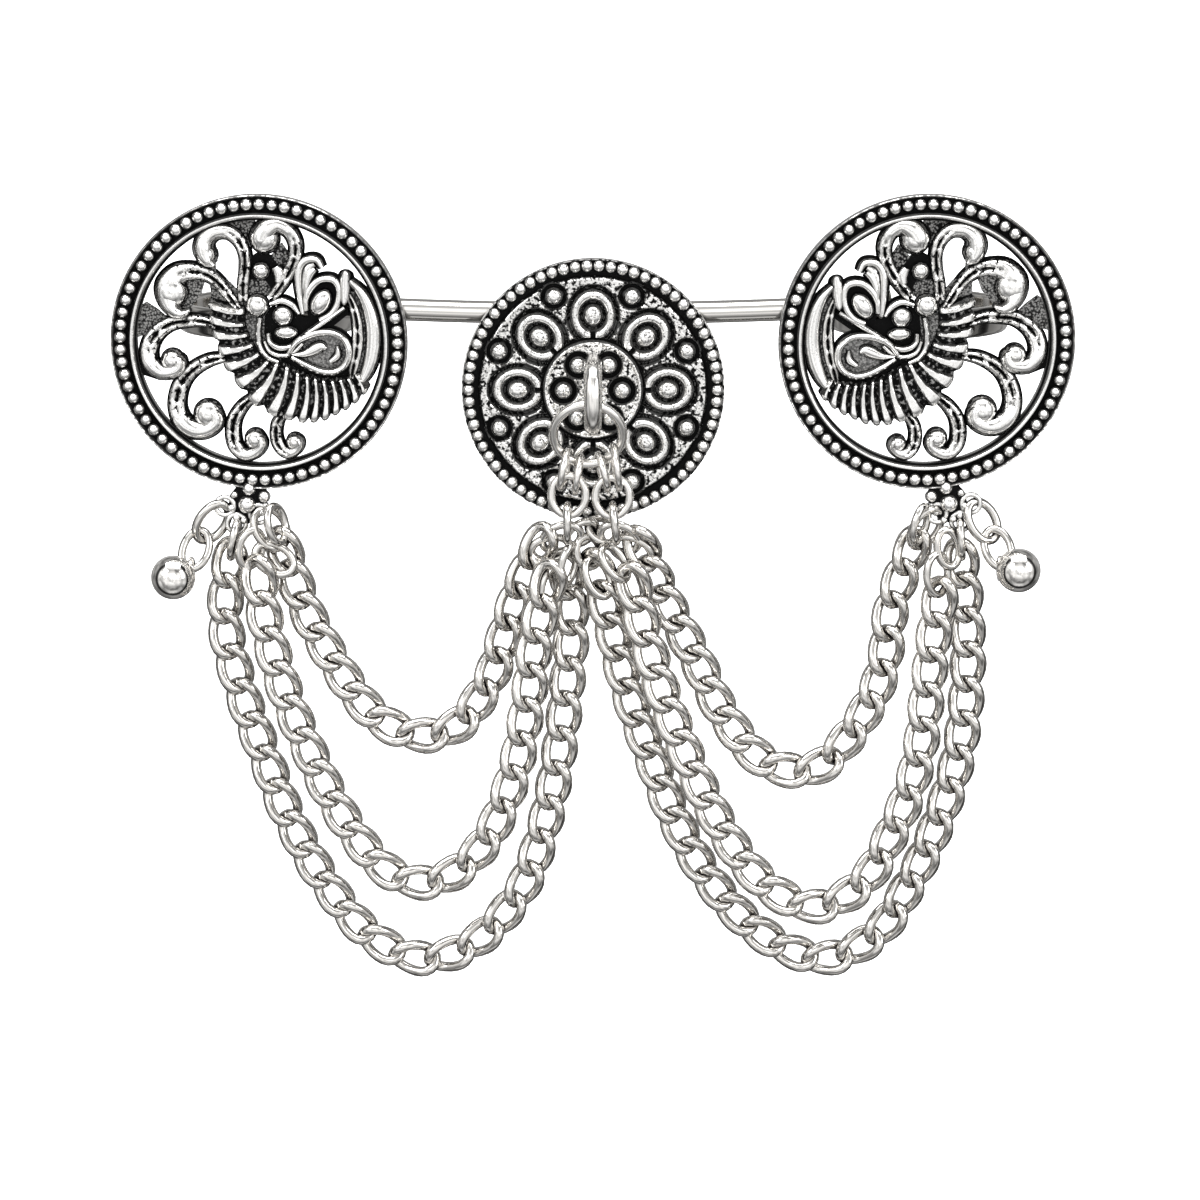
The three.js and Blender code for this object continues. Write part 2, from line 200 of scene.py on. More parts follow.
add_node(tent, "ShaderNodeOutputWorld", {"Surface": tent_choice.outputs[0]})


# Bar
# A round silver wire that carries the three medallions, bent in a very shallow bow. It is
# drawn wire, polished bright, and its ends are soldered behind the outer medallions.
MM = 0.001
BAR_RADIUS = 1.15
BAR_HALF_LENGTH = 30.0
BAR_RISE = 0.9
BAR_MIDDLE_Z = 0.35
BAR_STEPS = 60


def bumped(tree, height, strength, distance):
    values = {"Height": height, "Strength": strength, "Distance": distance * MM}
    return add_node(tree, "ShaderNodeBump", values).outputs["Normal"]


def open_air(tree, reach, low, high):
    """Nought in corners and one in the open, as far as reach, in millimetres."""
    corners = add_node(tree, "ShaderNodeAmbientOcclusion", {"Distance": reach * MM}, samples=8)
    return stretched(tree, corners.outputs["AO"], low, high)


def silver_material(name, tint, smoothest, roughest):
    """Polished silver with fine handling marks, its colour darkened in the corners as painted shade."""
    material = bpy.data.materials.new(name)
    material.use_nodes = True
    tree = material.node_tree
    place = add_node(tree, "ShaderNodeTexCoord").outputs["Object"]
    # Painted shade: the dark grey that the colour falls to in the corners open_air finds
    painted_corner_shade = tuple(0.14 * part for part in tint) + (1,)
    set_inputs(tree, tree.nodes["Principled BSDF"], {
        "Metallic": 1,
        "Roughness": stretched(tree, noise(tree, place, 420, 3), 0.3, 0.7, smoothest, roughest),
        "Base Color": mixed(tree, open_air(tree, 0.55, 0.28, 0.70), painted_corner_shade, tint + (1,)),
        "Normal": bumped(tree, noise(tree, place, 1500), 0.12, 0.02),
    })
    return material


def curve_through(points, per_span):
    """Points of a smooth line through the given ones, which never loops between close ones."""
    points = [Vector(p) for p in points]
    ends = [2 * points[0] - points[1]] + points + [2 * points[-1] - points[-2]]
    line = []
    for a, b, c, d in zip(ends, ends[1:], ends[2:], ends[3:]):
        ta = 0.0
        tb = ta + math.sqrt((b - a).length)
        tc = tb + math.sqrt((c - b).length)
        td = tc + math.sqrt((d - c).length)
        for step in range(per_span):
            t = tb + (tc - tb) * step / per_span
            ab = (a * (tb - t) + b * (t - ta)) / (tb - ta)
            bc = (b * (tc - t) + c * (t - tb)) / (tc - tb)
            cd = (c * (td - t) + d * (t - tc)) / (td - tc)
            abc = (ab * (tc - t) + bc * (t - ta)) / (tc - ta)
            bcd = (bc * (td - t) + cd * (t - tb)) / (td - tb)
            line.append((abc * (tc - t) + bcd * (t - tb)) / (tc - tb))
    return line + [points[-1]]


def rings_to_mesh(mesh, rings, closed_path):
    """Joins rings of corners, given in millimetres, to a closed skin in mesh."""
    rows = [[mesh.verts.new(Vector(corner) * MM) for corner in ring] for ring in rings]
    pairs = list(zip(rows, rows[1:]))
    if closed_path:
        pairs.append((rows[-1], rows[0]))
    for first, second in pairs:
        for i in range(len(first)):
            j = (i + 1) % len(first)
            mesh.faces.new((first[i], first[j], second[j], second[i]))
    if not closed_path:
        mesh.faces.new(list(reversed(rows[0])))
        mesh.faces.new(rows[-1])


def round_wire(mesh, line, radius, sides, closed_path=False):
    """A round wire along a line of points in millimetres."""
    line = [Vector(p) for p in line]
    count = len(line)
    rings = []
    side = None
    for i, point in enumerate(line):
        before = line[i - 1] if i or closed_path else point
        after = line[(i + 1) % count] if i < count - 1 or closed_path else point
        along = (after - before).normalized()
        if side is None:
            side = along.orthogonal().normalized()
        side = (side - along * side.dot(along)).normalized()
        other = along.cross(side)
        size = radius[i] if isinstance(radius, list) else radius
        rings.append([
            point + size * (math.cos(a) * side + math.sin(a) * other)
            for a in (2 * math.pi * k / sides for k in range(sides))
        ])
    if closed_path:
        # The last ring is turned to meet the first one, a little at each step.
        start, end = rings[0][0] - line[0], rings[-1][0] - line[-1]
        along = (line[0] - line[-1]).normalized()
        gap = math.atan2(along.dot(end.cross(start)), end.dot(start))
        for i, ring in enumerate(rings):
            turn = Matrix.Rotation(gap * i / count, 3, (line[(i + 1) % count] - line[i - 1]).normalized())
            rings[i] = [line[i] + turn @ (corner - line[i]) for corner in ring]
    rings_to_mesh(mesh, rings, closed_path)


def make_piece(name, mesh, material, nodes, crease=50):
    """Turns a finished mesh into a piece of the ring that stands for CAD nodes."""
    bmesh.ops.remove_doubles(mesh, verts=mesh.verts, dist=0.002 * MM)
    bmesh.ops.recalc_face_normals(mesh, faces=mesh.faces)
    data = bpy.data.meshes.new(name)
    mesh.to_mesh(data)
    mesh.free()
    data.shade_smooth()
    data.set_sharp_from_angle(angle=math.radians(crease))
    data.materials.clear()
    data.materials.append(material)
    piece = bpy.data.objects.new(name, data)
    bpy.context.scene.collection.objects.link(piece)
    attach(piece, "root")
    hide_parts(*nodes)
    return piece


bright_silver = silver_material("bright_silver", (0.66, 0.643, 0.615), 0.05, 0.13)
bar_line = []
for step in range(BAR_STEPS + 1):
    part = -1 + 2 * step / BAR_STEPS
    bar_line.append((part * BAR_HALF_LENGTH, 0, BAR_MIDDLE_Z + BAR_RISE * part * part))
bar_mesh = bmesh.new()
round_wire(bar_mesh, bar_line, BAR_RADIUS, 28)
make_piece("bar", bar_mesh, bright_silver, ["ring_frame"])


# Finger bands
# Two open bands of flat silver strip with rounded edges, soldered behind the outer medallions.
# The gap at the back lets each one be eased to fit the finger.
BAND_INNER_RADIUS = 8.2
BAND_WALL = 1.1
BAND_WIDTH = 3.0
BAND_GAP = 4.6
BAND_MIDDLE = (33.77, 8.2, -0.8)
BAND_WALL_ROUND = 0.42
BAND_WIDTH_ROUND = 0.5
BAND_STEPS = 96
BAND_TIP_TURN = math.radians(28)
BAND_SECTION = []
for corner_x, corner_z, first_angle in ((1, 1, 0), (-1, 1, 90), (-1, -1, 180), (1, -1, 270)):
    for step in range(5):
        angle = math.radians(first_angle + 90 * step / 4)
        BAND_SECTION.append((
            corner_x * (BAND_WALL / 2 - BAND_WALL_ROUND) + BAND_WALL_ROUND * math.cos(angle),
            corner_z * (BAND_WIDTH / 2 - BAND_WIDTH_ROUND) + BAND_WIDTH_ROUND * math.sin(angle),
        ))


def finger_band(name, side):
    half_gap = math.asin(BAND_GAP / 2 / BAND_INNER_RADIUS)
    sweep = 2 * math.pi - 2 * half_gap
    rings = []
    for step in range(-3, BAND_STEPS + 4):
        # The last three rings at each end are drawn in to a rounded tip.
        over = max(0, -step, step - BAND_STEPS)
        shrink = math.cos(BAND_TIP_TURN * over)
        angle = math.pi / 2 + half_gap + sweep * min(max(step, 0), BAND_STEPS) / BAND_STEPS
        nudge = 0.4 * math.sin(BAND_TIP_TURN * over) / BAND_INNER_RADIUS
        angle += nudge if step > BAND_STEPS else -nudge
        middle = BAND_INNER_RADIUS + BAND_WALL / 2
        rings.append([
            (
                side * BAND_MIDDLE[0] + (middle + u * shrink) * math.cos(angle),
                BAND_MIDDLE[1] + (middle + u * shrink) * math.sin(angle),
                BAND_MIDDLE[2] + v * shrink,
            )
            for u, v in BAND_SECTION
        ])
    mesh = bmesh.new()
    rings_to_mesh(mesh, rings, False)
    make_piece(name, mesh, bright_silver, ["ring_frame"])


finger_band("left_finger_band", -1)
finger_band("right_finger_band", 1)


# Rims of the outer medallions
# Each outer medallion is one casting. Its rim is a channel between two raised lines, blackened
# inside, with a row of shot beads in it. The right casting is the left one mirrored.
MEDALLION_X = 33.77
MEDALLION_Z = -2.37
RIGHT_TURN = 0.06
CAST_BACK = -0.95
RIM_PROFILE = [
    (12.40, CAST_BACK), (12.36, -1.9), (12.42, -2.18), (12.56, -2.26), (12.66, -2.52), (12.74, -2.78),
    (12.86, -2.84), (12.98, -2.80), (13.07, -2.55), (13.13, -2.28), (13.30, -2.10), (14.05, -2.06),
    (14.68, -2.10), (14.76, -2.40), (14.82, -2.62), (14.90, -2.66), (14.97, -2.60), (15.02, -2.30),
    (15.00, -1.3), (14.88, CAST_BACK),
]
BEAD_CIRCLE = 14.03
BEAD_COUNT = 69
BEAD_RADIUS = 0.60
BEAD_Y = -2.45


def maths(tree, operation, *values):
    """A sum of one or two values, each a socket or a number; returns the result's socket."""
    return add_node(tree, "ShaderNodeMath", dict(enumerate(values)), operation=operation).outputs[0]


OXIDE = (0.004, 0.004, 0.004, 1)
RUBBED_SILVER = (0.93, 0.92, 0.90, 1)


def antique_material(name, dark_below, bright_above, side_light=0.0, speckle=0.10, wear=0.0, grain=0.15):
    """Cast silver blackened with oxide and rubbed back: black low down, bright on what stands out.

    Heights are millimetres towards the front. Speckle is how far the edge of the black wanders, wear
    is how bright the low parts are, grain is how deep the pits cut and side_light lights the sides."""
    material = bpy.data.materials.new(name)
    material.use_nodes = True
    tree = material.node_tree
    place = add_node(tree, "ShaderNodeTexCoord").outputs
    depth = add_node(tree, "ShaderNodeSeparateXYZ", {0: place["Object"]}).outputs["Y"]
    backward = add_node(tree, "ShaderNodeSeparateXYZ", {0: place["Normal"]}).outputs["Y"]
    upright = maths(tree, "ABSOLUTE", backward)
    clouds = noise(tree, place["Object"], 2400, 4)
    wander = stretched(tree, clouds, 0.38, 0.62, -speckle * MM, speckle * MM)
    height = maths(tree, "SUBTRACT", wander, depth)
    polish = stretched(
        tree, height, dark_below * MM, bright_above * MM, wear, interpolation_type="SMOOTHSTEP",
    )
    for part in (
        stretched(tree, upright, 0.10, 0.50, 0.10),
        stretched(tree, noise(tree, place["Object"], 5200), 0.37, 0.43, 1 - grain),
        open_air(tree, 0.5, 0.35, 0.80),
    ):
        polish = maths(tree, "MULTIPLY", polish, part)
    # The back is left plain, and where asked the sides are brightened as painted light
    for part in (
        stretched(tree, backward, 0.35, 0.75, 0, 0.8),
        stretched(tree, upright, 0.55, 0.15, 0, side_light),
    ):
        polish = maths(tree, "MAXIMUM", polish, part)
    set_inputs(tree, tree.nodes["Principled BSDF"], {
        "Base Color": mixed(tree, polish, OXIDE, RUBBED_SILVER),
        "Metallic": stretched(tree, polish, 0, 0.35, 0.2),
        "Roughness": stretched(tree, polish, 0, 1, 0.60, 0.15),
        "Specular IOR Level": 0.06,
        "Normal": bumped(tree, clouds, 0.35, 0.03),
    })
    return material


def turned_ring(mesh, profile, segments):
    """A ring turned about the front-to-back axis; the profile holds (radius, y) corners."""
    rings = []
    for step in range(segments):
        angle = 2 * math.pi * step / segments
        rings.append([(r * math.sin(angle), y, r * math.cos(angle)) for r, y in profile])
    rings_to_mesh(mesh, rings, True)


def on_both_sides(name, build, material, crease=50):
    """Makes a piece of the left casting and its mirrored twin on the right."""
    for side, word in ((-1, "left"), (1, "right")):
        mesh = bmesh.new()
        build(mesh)
        place = Matrix.Translation((side * MEDALLION_X * MM, 0, MEDALLION_Z * MM))
        if side > 0:
            place = place @ Matrix.Rotation(-RIGHT_TURN, 4, "Y") @ Matrix.Diagonal((-1, 1, 1, 1))
        bmesh.ops.transform(mesh, matrix=place, verts=mesh.verts)
        make_piece(f"{word}_{name}", mesh, material, ["ring_frame"], crease)


def open_tree(name, inputs):
    """A new geometry nodes tree with named inputs, and the sockets that give them."""
    tree = bpy.data.node_groups.new(name, "GeometryNodeTree")
    for label, kind in (("Geometry", "Geometry"),) + inputs + (("Finish", "Material"),):
        tree.interface.new_socket(name=label, in_out="INPUT", socket_type="NodeSocket" + kind)
    tree.interface.new_socket(name="Geometry", in_out="OUTPUT", socket_type="NodeSocketGeometry")
    return tree, add_node(tree, "NodeGroupInput").outputs


def close_tree(tree, given, instances):
    """Makes the instances real, gives them the finish and ends the tree."""
    real = add_node(tree, "GeometryNodeRealizeInstances", {"Geometry": instances}).outputs["Geometry"]
    painted = add_node(tree, "GeometryNodeSetMaterial", {"Geometry": real, "Material": given["Finish"]})
    add_node(tree, "NodeGroupOutput", {"Geometry": painted.outputs["Geometry"]})
    return tree


def bead_row_tree():
    """Geometry nodes for a circle of beads that faces the front."""
    tree, given = open_tree("bead_row", (
        ("Bead Count", "Int"), ("Circle Radius", "Float"), ("Bead Radius", "Float"), ("Centre", "Vector"),
        ("Seed", "Int"),
    ))
    circle = add_node(tree, "GeometryNodeMeshCircle", {
        "Vertices": given["Bead Count"], "Radius": given["Circle Radius"],
    })
    upright = add_node(tree, "GeometryNodeTransform", {
        "Geometry": circle.outputs["Mesh"], "Rotation": (math.pi / 2, 0, 0), "Translation": given["Centre"],
    })
    bead = add_node(tree, "GeometryNodeMeshUVSphere", {
        "Segments": 12, "Rings": 7, "Radius": given["Bead Radius"],
    })
    size = add_node(tree, "FunctionNodeRandomValue", {
        2: 0.93, 3: 1.05, "Seed": given["Seed"],
    }, data_type="FLOAT")
    spread = add_node(tree, "GeometryNodeInstanceOnPoints", {
        "Points": upright.outputs["Geometry"], "Instance": bead.outputs["Mesh"],
        "Rotation": (math.pi / 2, 0, 0), "Scale": size.outputs[1],
    })
    return close_tree(tree, given, spread.outputs["Instances"])


def grown_mesh(name, source, tree, values):
    """Runs a geometry nodes tree on source data and returns the result as a plain mesh to work on."""
    carrier = bpy.data.objects.new(name, source)
    bpy.context.scene.collection.objects.link(carrier)
    modifier = carrier.modifiers.new("grow", "NODES")
    modifier.node_group = tree
    sockets = {item.name: item.identifier for item in tree.interface.items_tree if item.in_out == "INPUT"}
    for label, value in values.items():
        modifier[sockets[label]] = value
    bpy.context.view_layer.update()
    seen = carrier.evaluated_get(bpy.context.evaluated_depsgraph_get())
    data = bpy.data.meshes.new_from_object(seen)
    mesh = bmesh.new()
    mesh.from_mesh(data)
    carrier.modifiers.remove(modifier)
    bpy.data.objects.remove(carrier)
    bpy.data.meshes.remove(data)
    return mesh


RIM_SEGMENTS = 160
rim_silver = antique_material("antique_silver_rim", 2.45, 2.80, side_light=0.45)
bead_silver = antique_material("antique_silver_beads", 2.35, 2.75, speckle=0.05)
on_both_sides("medallion_rim", lambda mesh: turned_ring(mesh, RIM_PROFILE, RIM_SEGMENTS), rim_silver)
bead_row = bead_row_tree()
for side, word in ((-1, "left"), (1, "right")):
    bead_mesh = grown_mesh(f"{word}_bead_carrier", bpy.data.meshes.new("bead_points"), bead_row, {
        "Bead Count": BEAD_COUNT,
        "Circle Radius": BEAD_CIRCLE * MM,
        "Bead Radius": BEAD_RADIUS * MM,
        "Centre": (side * MEDALLION_X * MM, BEAD_Y * MM, MEDALLION_Z * MM),
        "Seed": 4 + side,
        "Finish": bead_silver,
    })
    make_piece(f"{word}_medallion_beads", bead_mesh, bead_silver, ["ring_frame"], 180)


# Scrolls
# Seven scrolls fan out from the bird's body like tail feathers and hold it in the rim. Each stem
# is cast with two raised edges and swells to a smooth polished curl. Rows are (x, z, half width).
SCROLL_BACK = -1.05
SCROLL_FRONT = -2.5
SCROLL_WIDEN = 1.1
BULB_WIDEN = 1.12
BULB_BASE = -1.5
BULB_TOP = -3.15
DASHES = 5.5


def whole_section(half):
    """A strip's section from one edge to the other, from its half up to the middle."""
    return half + [(-u, h) for u, h in reversed(half[:-1])]


STEM_SECTION = whole_section([
    (-1.24, 0), (-1.24, 0.42), (-1.02, 0.50), (-0.97, 0.74), (-0.84, 0.96), (-0.50, 1.04), (-0.24, 0.94),
    (0.0, 0.62),
])
DASH_SECTION = whole_section([
    (-1.24, 0), (-1.24, 0.42), (-1.02, 0.50), (-0.97, 0.74), (-0.84, 0.94), (-0.50, 1.02), (-0.24, 1.0),
    (0.0, 0.94),
])
CURL_SECTION = whole_section([
    (-1.15, 0), (-1.15, 0.42), (-1.02, 0.50), (-0.97, 0.72), (-0.86, 0.92), (-0.62, 1.12), (-0.32, 1.25),
    (0.0, 1.30),
])
SCROLLS = [
    {"ball": (-5.15, 8.9, 1.1), "line": [
        (-1.5, 4.3, 0.47), (-1.5, 5.7, 0.52), (-1.3, 7.4, 0.52), (-1.3, 9.0, 0.56), (-1.8, 10.3, 0.63),
        (-2.9, 11.2, 0.70), (-4.2, 11.2, 0.78), (-5.2, 10.4, 0.89), (-5.4, 9.4, 0.95),
        (-5.0, 8.4, 0.72), (-4.3, 7.9, 0.30),
    ]},
    {"ball": (0.75, 10.5, 1.45), "line": [
        (1.4, 4.6, 0.47), (2.4, 5.9, 0.56), (3.3, 7.4, 0.59), (3.8, 8.8, 0.61), (3.8, 10.2, 0.66),
        (3.1, 11.4, 0.72), (2.1, 11.9, 0.85), (1.1, 11.5, 1.05), (0.5, 10.6, 1.15), (0.45, 9.6, 0.80),
    ]},
    {"ball": (-8.75, 5.1, 1.6), "line": [
        (-2.0, 3.5, 0.35), (-2.8, 4.6, 0.47), (-3.8, 5.9, 0.56), (-5.1, 6.9, 0.66), (-6.7, 7.2, 0.80),
        (-8.2, 6.8, 1.05), (-9.0, 5.7, 1.25), (-9.0, 4.4, 1.10), (-8.6, 3.4, 0.75), (-7.7, 3.0, 0.50),
        (-6.9, 3.4, 0.18),
    ]},
    {"ball": (-8.85, -1.8, 1.12), "line": [
        (-4.3, 1.8, 0.42), (-5.7, 2.2, 0.52), (-7.3, 2.2, 0.59), (-9.0, 1.9, 0.66), (-10.5, 0.8, 0.75),
        (-11.2, -0.6, 0.80), (-11.1, -2.0, 0.80), (-10.2, -2.9, 0.75), (-9.3, -3.0, 0.72),
        (-8.3, -2.6, 0.70), (-8.1, -1.8, 0.60), (-8.8, -1.6, 0.45),
    ]},
    {"ball": (-5.35, -7.3, 1.42), "line": [
        (-3.5, -1.5, 0.42), (-5.0, -1.8, 0.56), (-6.4, -2.5, 0.63), (-7.6, -3.6, 0.70),
        (-8.3, -5.0, 0.75), (-8.5, -6.7, 0.80), (-8.0, -8.1, 0.88), (-6.9, -8.9, 0.90),
        (-5.6, -8.9, 0.85), (-4.6, -8.1, 0.80), (-4.7, -7.2, 0.65), (-5.4, -7.1, 0.50),
    ]},
    {"ball": (-0.62, -9.9, 1.05), "line": [
        (-0.8, -5.6, 0.42), (-1.9, -6.6, 0.56), (-2.7, -7.9, 0.63), (-2.9, -9.3, 0.66),
        (-2.6, -10.7, 0.66), (-1.7, -11.5, 0.64), (-0.6, -11.2, 0.62), (0.05, -10.5, 0.55),
        (-0.1, -9.8, 0.48), (-0.6, -9.8, 0.40),
    ]},
    {"ball": (3.4, -10.15, 0.86), "line": [
        (2.4, -7.2, 0.38), (1.7, -8.2, 0.52), (1.5, -9.5, 0.54), (1.8, -10.6, 0.56), (2.6, -11.3, 0.58),
        (3.5, -11.0, 0.52), (3.95, -10.4, 0.45), (3.8, -9.9, 0.38), (3.4, -10.0, 0.30),
    ]},
]


def cast_strip(mesh, line, section_at, back, front, per_span=6):
    """A raised strip along (x, z, half width) rows; section_at gives its section along the way."""
    smooth = curve_through(line, per_span)
    rings = []
    last = len(smooth) - 1
    for i, (x, z, half_width) in enumerate(smooth):
        ahead = smooth[min(i + 1, last)]
        behind = smooth[max(i - 1, 0)]
        along = Vector((ahead[0] - behind[0], ahead[1] - behind[1])).normalized()
        section = section_at(i / last)
        rings.append([
            (x - along.y * u * half_width, back + h * (front - back), z + along.x * u * half_width)
            for u, h in section
        ])
    rings_to_mesh(mesh, rings, False)


def eased(value, low, high):
    part = min(max((value - low) / (high - low), 0), 1)
    return part * part * (3 - 2 * part)


DOME_BACK = -1.15


def dome(mesh, x, z, radius, base, top, stretch=1.0, turn=0.0, segments=32, rings=13):
    """A round boss that stands up from base to top, drawn out along its own length by stretch."""
    made = bmesh.ops.create_uvsphere(mesh, u_segments=segments, v_segments=rings * 2, radius=1.0)
    place = (
        Matrix.Translation((x * MM, base * MM, z * MM))
        @ Matrix.Rotation(turn, 4, "Y")
        @ Matrix.Diagonal((radius * MM, abs(top - base) * MM, radius * stretch * MM, 1))
        @ Matrix.Rotation(math.pi / 2, 4, "X")
    )
    bmesh.ops.transform(mesh, matrix=place, verts=made["verts"])
    for vert in made["verts"]:
        vert.co.y = min(vert.co.y, DOME_BACK * MM)


def between(first, second, part):
    return [(a[0] + (b[0] - a[0]) * part, a[1] + (b[1] - a[1]) * part) for a, b in zip(first, second)]


def dashed_section(part):
    """The stem's groove, broken into dashes along its length."""
    wave = math.sin(2 * math.pi * (DASHES * part + 0.2 * math.sin(11 * part)))
    return between(STEM_SECTION, DASH_SECTION, eased(wave, 0.55, 0.95))


def scroll_section(part):
    """Dashed stem, then a plain swelling curl that sinks a little at its tail."""
    section = between(dashed_section(1.35 * part), CURL_SECTION, eased(part, 0.34, 0.60))
    tail = 1 - 0.12 * eased(part, 0.90, 1.0)
    crown = (1 + 0.15 * eased(part, 0.60, 0.80)) * tail
    return [(u, h * crown) for u, h in section]


def build_scrolls(mesh):
    for scroll in SCROLLS:
        line = [(x, z, SCROLL_WIDEN * half_width) for x, z, half_width in scroll["line"]]
        cast_strip(mesh, line, scroll_section, SCROLL_BACK, SCROLL_FRONT, 9)
        x, z, size = scroll["ball"]
        dome(mesh, x, z, BULB_WIDEN * size, BULB_BASE, BULB_TOP)


scroll_silver = antique_material("antique_silver_scrolls", 2.18, 2.42, speckle=0.34)
on_both_sides("scrolls", build_scrolls, scroll_silver)


# Ribbed body
# The bird's body is a hollow dish, oxide black, with sixteen raised ribs like fanned feathers
# whose rounded ends stand past its edge. Rows run (outer x, z, inner x, z) from head to tail.
RIBS = [
    (-4.7, 3.9, -1.3, 3.1), (-4.55, 2.4, -1.3, 1.9), (-4.3, 0.9, -1.0, 0.9), (-3.8, -0.7, -0.5, -0.1),
    (-3.2, -2.3, 0.1, -1.0), (-2.0, -4.0, 1.0, -1.7), (-0.6, -5.8, 1.9, -1.8), (1.3, -6.9, 2.9, -2.1),
    (2.9, -7.4, 3.9, -2.7), (4.3, -7.7, 4.8, -3.1), (5.45, -7.7, 5.6, -3.3), (6.6, -7.5, 6.4, -3.5),
    (7.7, -7.0, 7.3, -3.6), (8.75, -6.5, 8.1, -3.5), (9.75, -5.8, 8.9, -3.4), (10.7, -4.9, 9.7, -3.1),
]
RIB_STEPS = 18
RIB_LENGTH_STEPS = 16
RIB_HEIGHT = 0.95
RIB_LEAN = 0.30
RIB_OVERHANG = 0.10
BODY_GROUND = -2.0
BODY_BACK = -1.0


def build_body(mesh):
    rows = curve_through([Vector(row) for row in RIBS], RIB_STEPS)
    first = rows[0] + (rows[0] - rows[RIB_STEPS // 2])
    last = rows[-1] + (rows[-1] - rows[-1 - RIB_STEPS // 2])
    rows = [first] + rows + [last]
    rings = []
    for i, (ox, oz, ix, iz) in enumerate(rows):
        phase = (i - 1) / RIB_STEPS
        off_rib = 2 * abs(phase - round(phase))
        if i in (0, len(rows) - 1):
            off_rib = 1.0
        ring = []
        outer_end = 1.0 + RIB_OVERHANG * (1 - off_rib ** 2)
        for k in range(RIB_LENGTH_STEPS + 1):
            t = outer_end * k / RIB_LENGTH_STEPS
            lean = RIB_LEAN * math.sin(math.pi * min(t, 1))
            x, z = ix + (ox - ix) * t, iz + (oz - iz) * t
            x, z = x - lean * (oz - iz) / 5.0, z + lean * (ox - ix) / 5.0
            width = 0.34 + 0.30 * t
            ridge = 1 - eased(off_rib, width - 0.16, width + 0.10)
            ends = eased(t, 0.0, 0.10) * (1 - 0.35 * eased(t, outer_end - 0.10, outer_end))
            ground = BODY_GROUND - 0.10 * math.sin(math.pi * min(t, 1))
            ring.append((x, ground - RIB_HEIGHT * ridge * ends, z))
        x, z = ring[-1][0], ring[-1][2]
        ring.append((x, BODY_BACK, z))
        ring.append((ring[0][0], BODY_BACK, ring[0][2]))
        rings.append(ring)
    rings_to_mesh(mesh, rings, False)


body_silver = antique_material("antique_silver_body", 2.10, 2.50, speckle=0.20)
on_both_sides("ribbed_body", build_body, body_silver)


# Blackened plates
# Thin cast webs close some of the corners behind the scrolls and the head. Their stippled ground
# holds the oxide. Each row of corners is (x, z).
WEBS = [
    [(-3.2, 12.3), (-1.8, 12.7), (-0.2, 12.7), (-0.2, 11.0), (-1.0, 9.0), (-1.4, 10.2)],
    [(1.3, 8.8), (2.4, 10.1), (3.3, 8.8), (2.5, 7.4)],
    [(-1.0, 6.3), (0.6, 6.5), (1.5, 5.1), (0.3, 4.2), (-1.1, 4.6)],
    [(-12.5, 3.3), (-11.4, 4.1), (-10.2, 3.3), (-9.3, 2.5), (-9.6, 1.8), (-11.2, 0.9), (-12.6, 0.4)],
    [(-8.2, 6.3), (-6.4, 6.8), (-5.4, 6.2), (-5.8, 4.9), (-6.8, 3.6), (-8.4, 3.3)],
    [(-5.2, 7.1), (-2.9, 6.1), (-1.4, 4.5), (-1.4, 3.0), (-4.6, 3.6), (-4.9, 5.9)],
    [(-1.6, 3.6), (0.6, 3.2), (0.5, 0.9), (1.0, -0.5), (2.2, -1.7), (1.4, -2.4), (-0.8, -0.8),
     (-1.3, 1.0)],
    [(-5.5, 8.2), (-4.3, 8.2), (-4.2, 6.9), (-5.3, 6.9)],
    [(9.2, 5.2), (10.2, 5.0), (11.0, 3.2), (11.3, 0.8), (11.1, -1.5), (10.5, -3.2), (9.4, -3.4),
     (9.7, -1.2), (9.9, 0.6), (9.8, 2.2), (9.5, 3.6)],
    [(2.9, -1.1), (4.3, 0.5), (6.3, 1.1), (8.5, 0.8), (9.4, -1.0), (8.7, -2.7), (6.6, -3.3), (4.2, -2.4)],
]
# Plates that stay black: behind the head, the oval and the leaf, and where curls touch the rim
BLACK_PLATES = [
    [(-1.2, 8.4), (0.3, 9.3), (1.3, 8.8), (2.5, 7.4), (2.2, 6.2), (1.5, 5.1), (0.6, 6.5), (-1.0, 6.3)],
    [(0.2, 3.2), (1.4, 3.6), (3.7, 3.2), (4.4, 2.6), (6.6, 2.6), (8.9, 3.8), (9.1, 2.9), (6.3, 0.7),
     (3.8, -0.9), (1.9, -2.2), (0.3, -0.6)],
    [(4.9, 2.9), (5.0, 5.2), (6.2, 6.2), (8.2, 6.3), (8.2, 3.8), (6.8, 2.4), (5.2, 2.2)],
    [(4.5, 4.2), (4.0, 7.2), (4.8, 8.2), (5.6, 8.2), (5.4, 7.3), (4.8, 5.7)],
    [(-12.5, -2.2), (-12.3, -3.2), (-10.2, -3.9), (-8.9, -3.6), (-9.2, -3.0), (-11.2, -2.4)],
    [(0.8, -1.6), (2.9, -0.9), (6.0, -2.6), (9.0, -2.8), (9.9, -3.6), (6.0, -4.2), (3.0, -3.8),
     (1.0, -2.8)],
]
WEB_BACK = -1.08
WEB_FRONT = -1.75
WEB_STEP = 0.02
RUBBED_SPOT = (0.72, 0.71, 0.69, 1)


def flat_plate(mesh, corners, front_y, back_y):
    front = [mesh.verts.new((x * MM, front_y * MM, z * MM)) for x, z in corners]
    back = [mesh.verts.new((x * MM, back_y * MM, z * MM)) for x, z in corners]
    mesh.faces.new(front)
    mesh.faces.new(list(reversed(back)))
    for i in range(len(front)):
        j = (i + 1) % len(front)
        mesh.faces.new((front[i], back[i], back[j], front[j]))


def build_plates(mesh, plates, lift=0.0):
    """Overlapping plates, each a little in front of the one before it."""
    for number, corners in enumerate(plates):
        step = lift + WEB_STEP * number
        flat_plate(mesh, corners, WEB_FRONT - step, WEB_BACK - step)


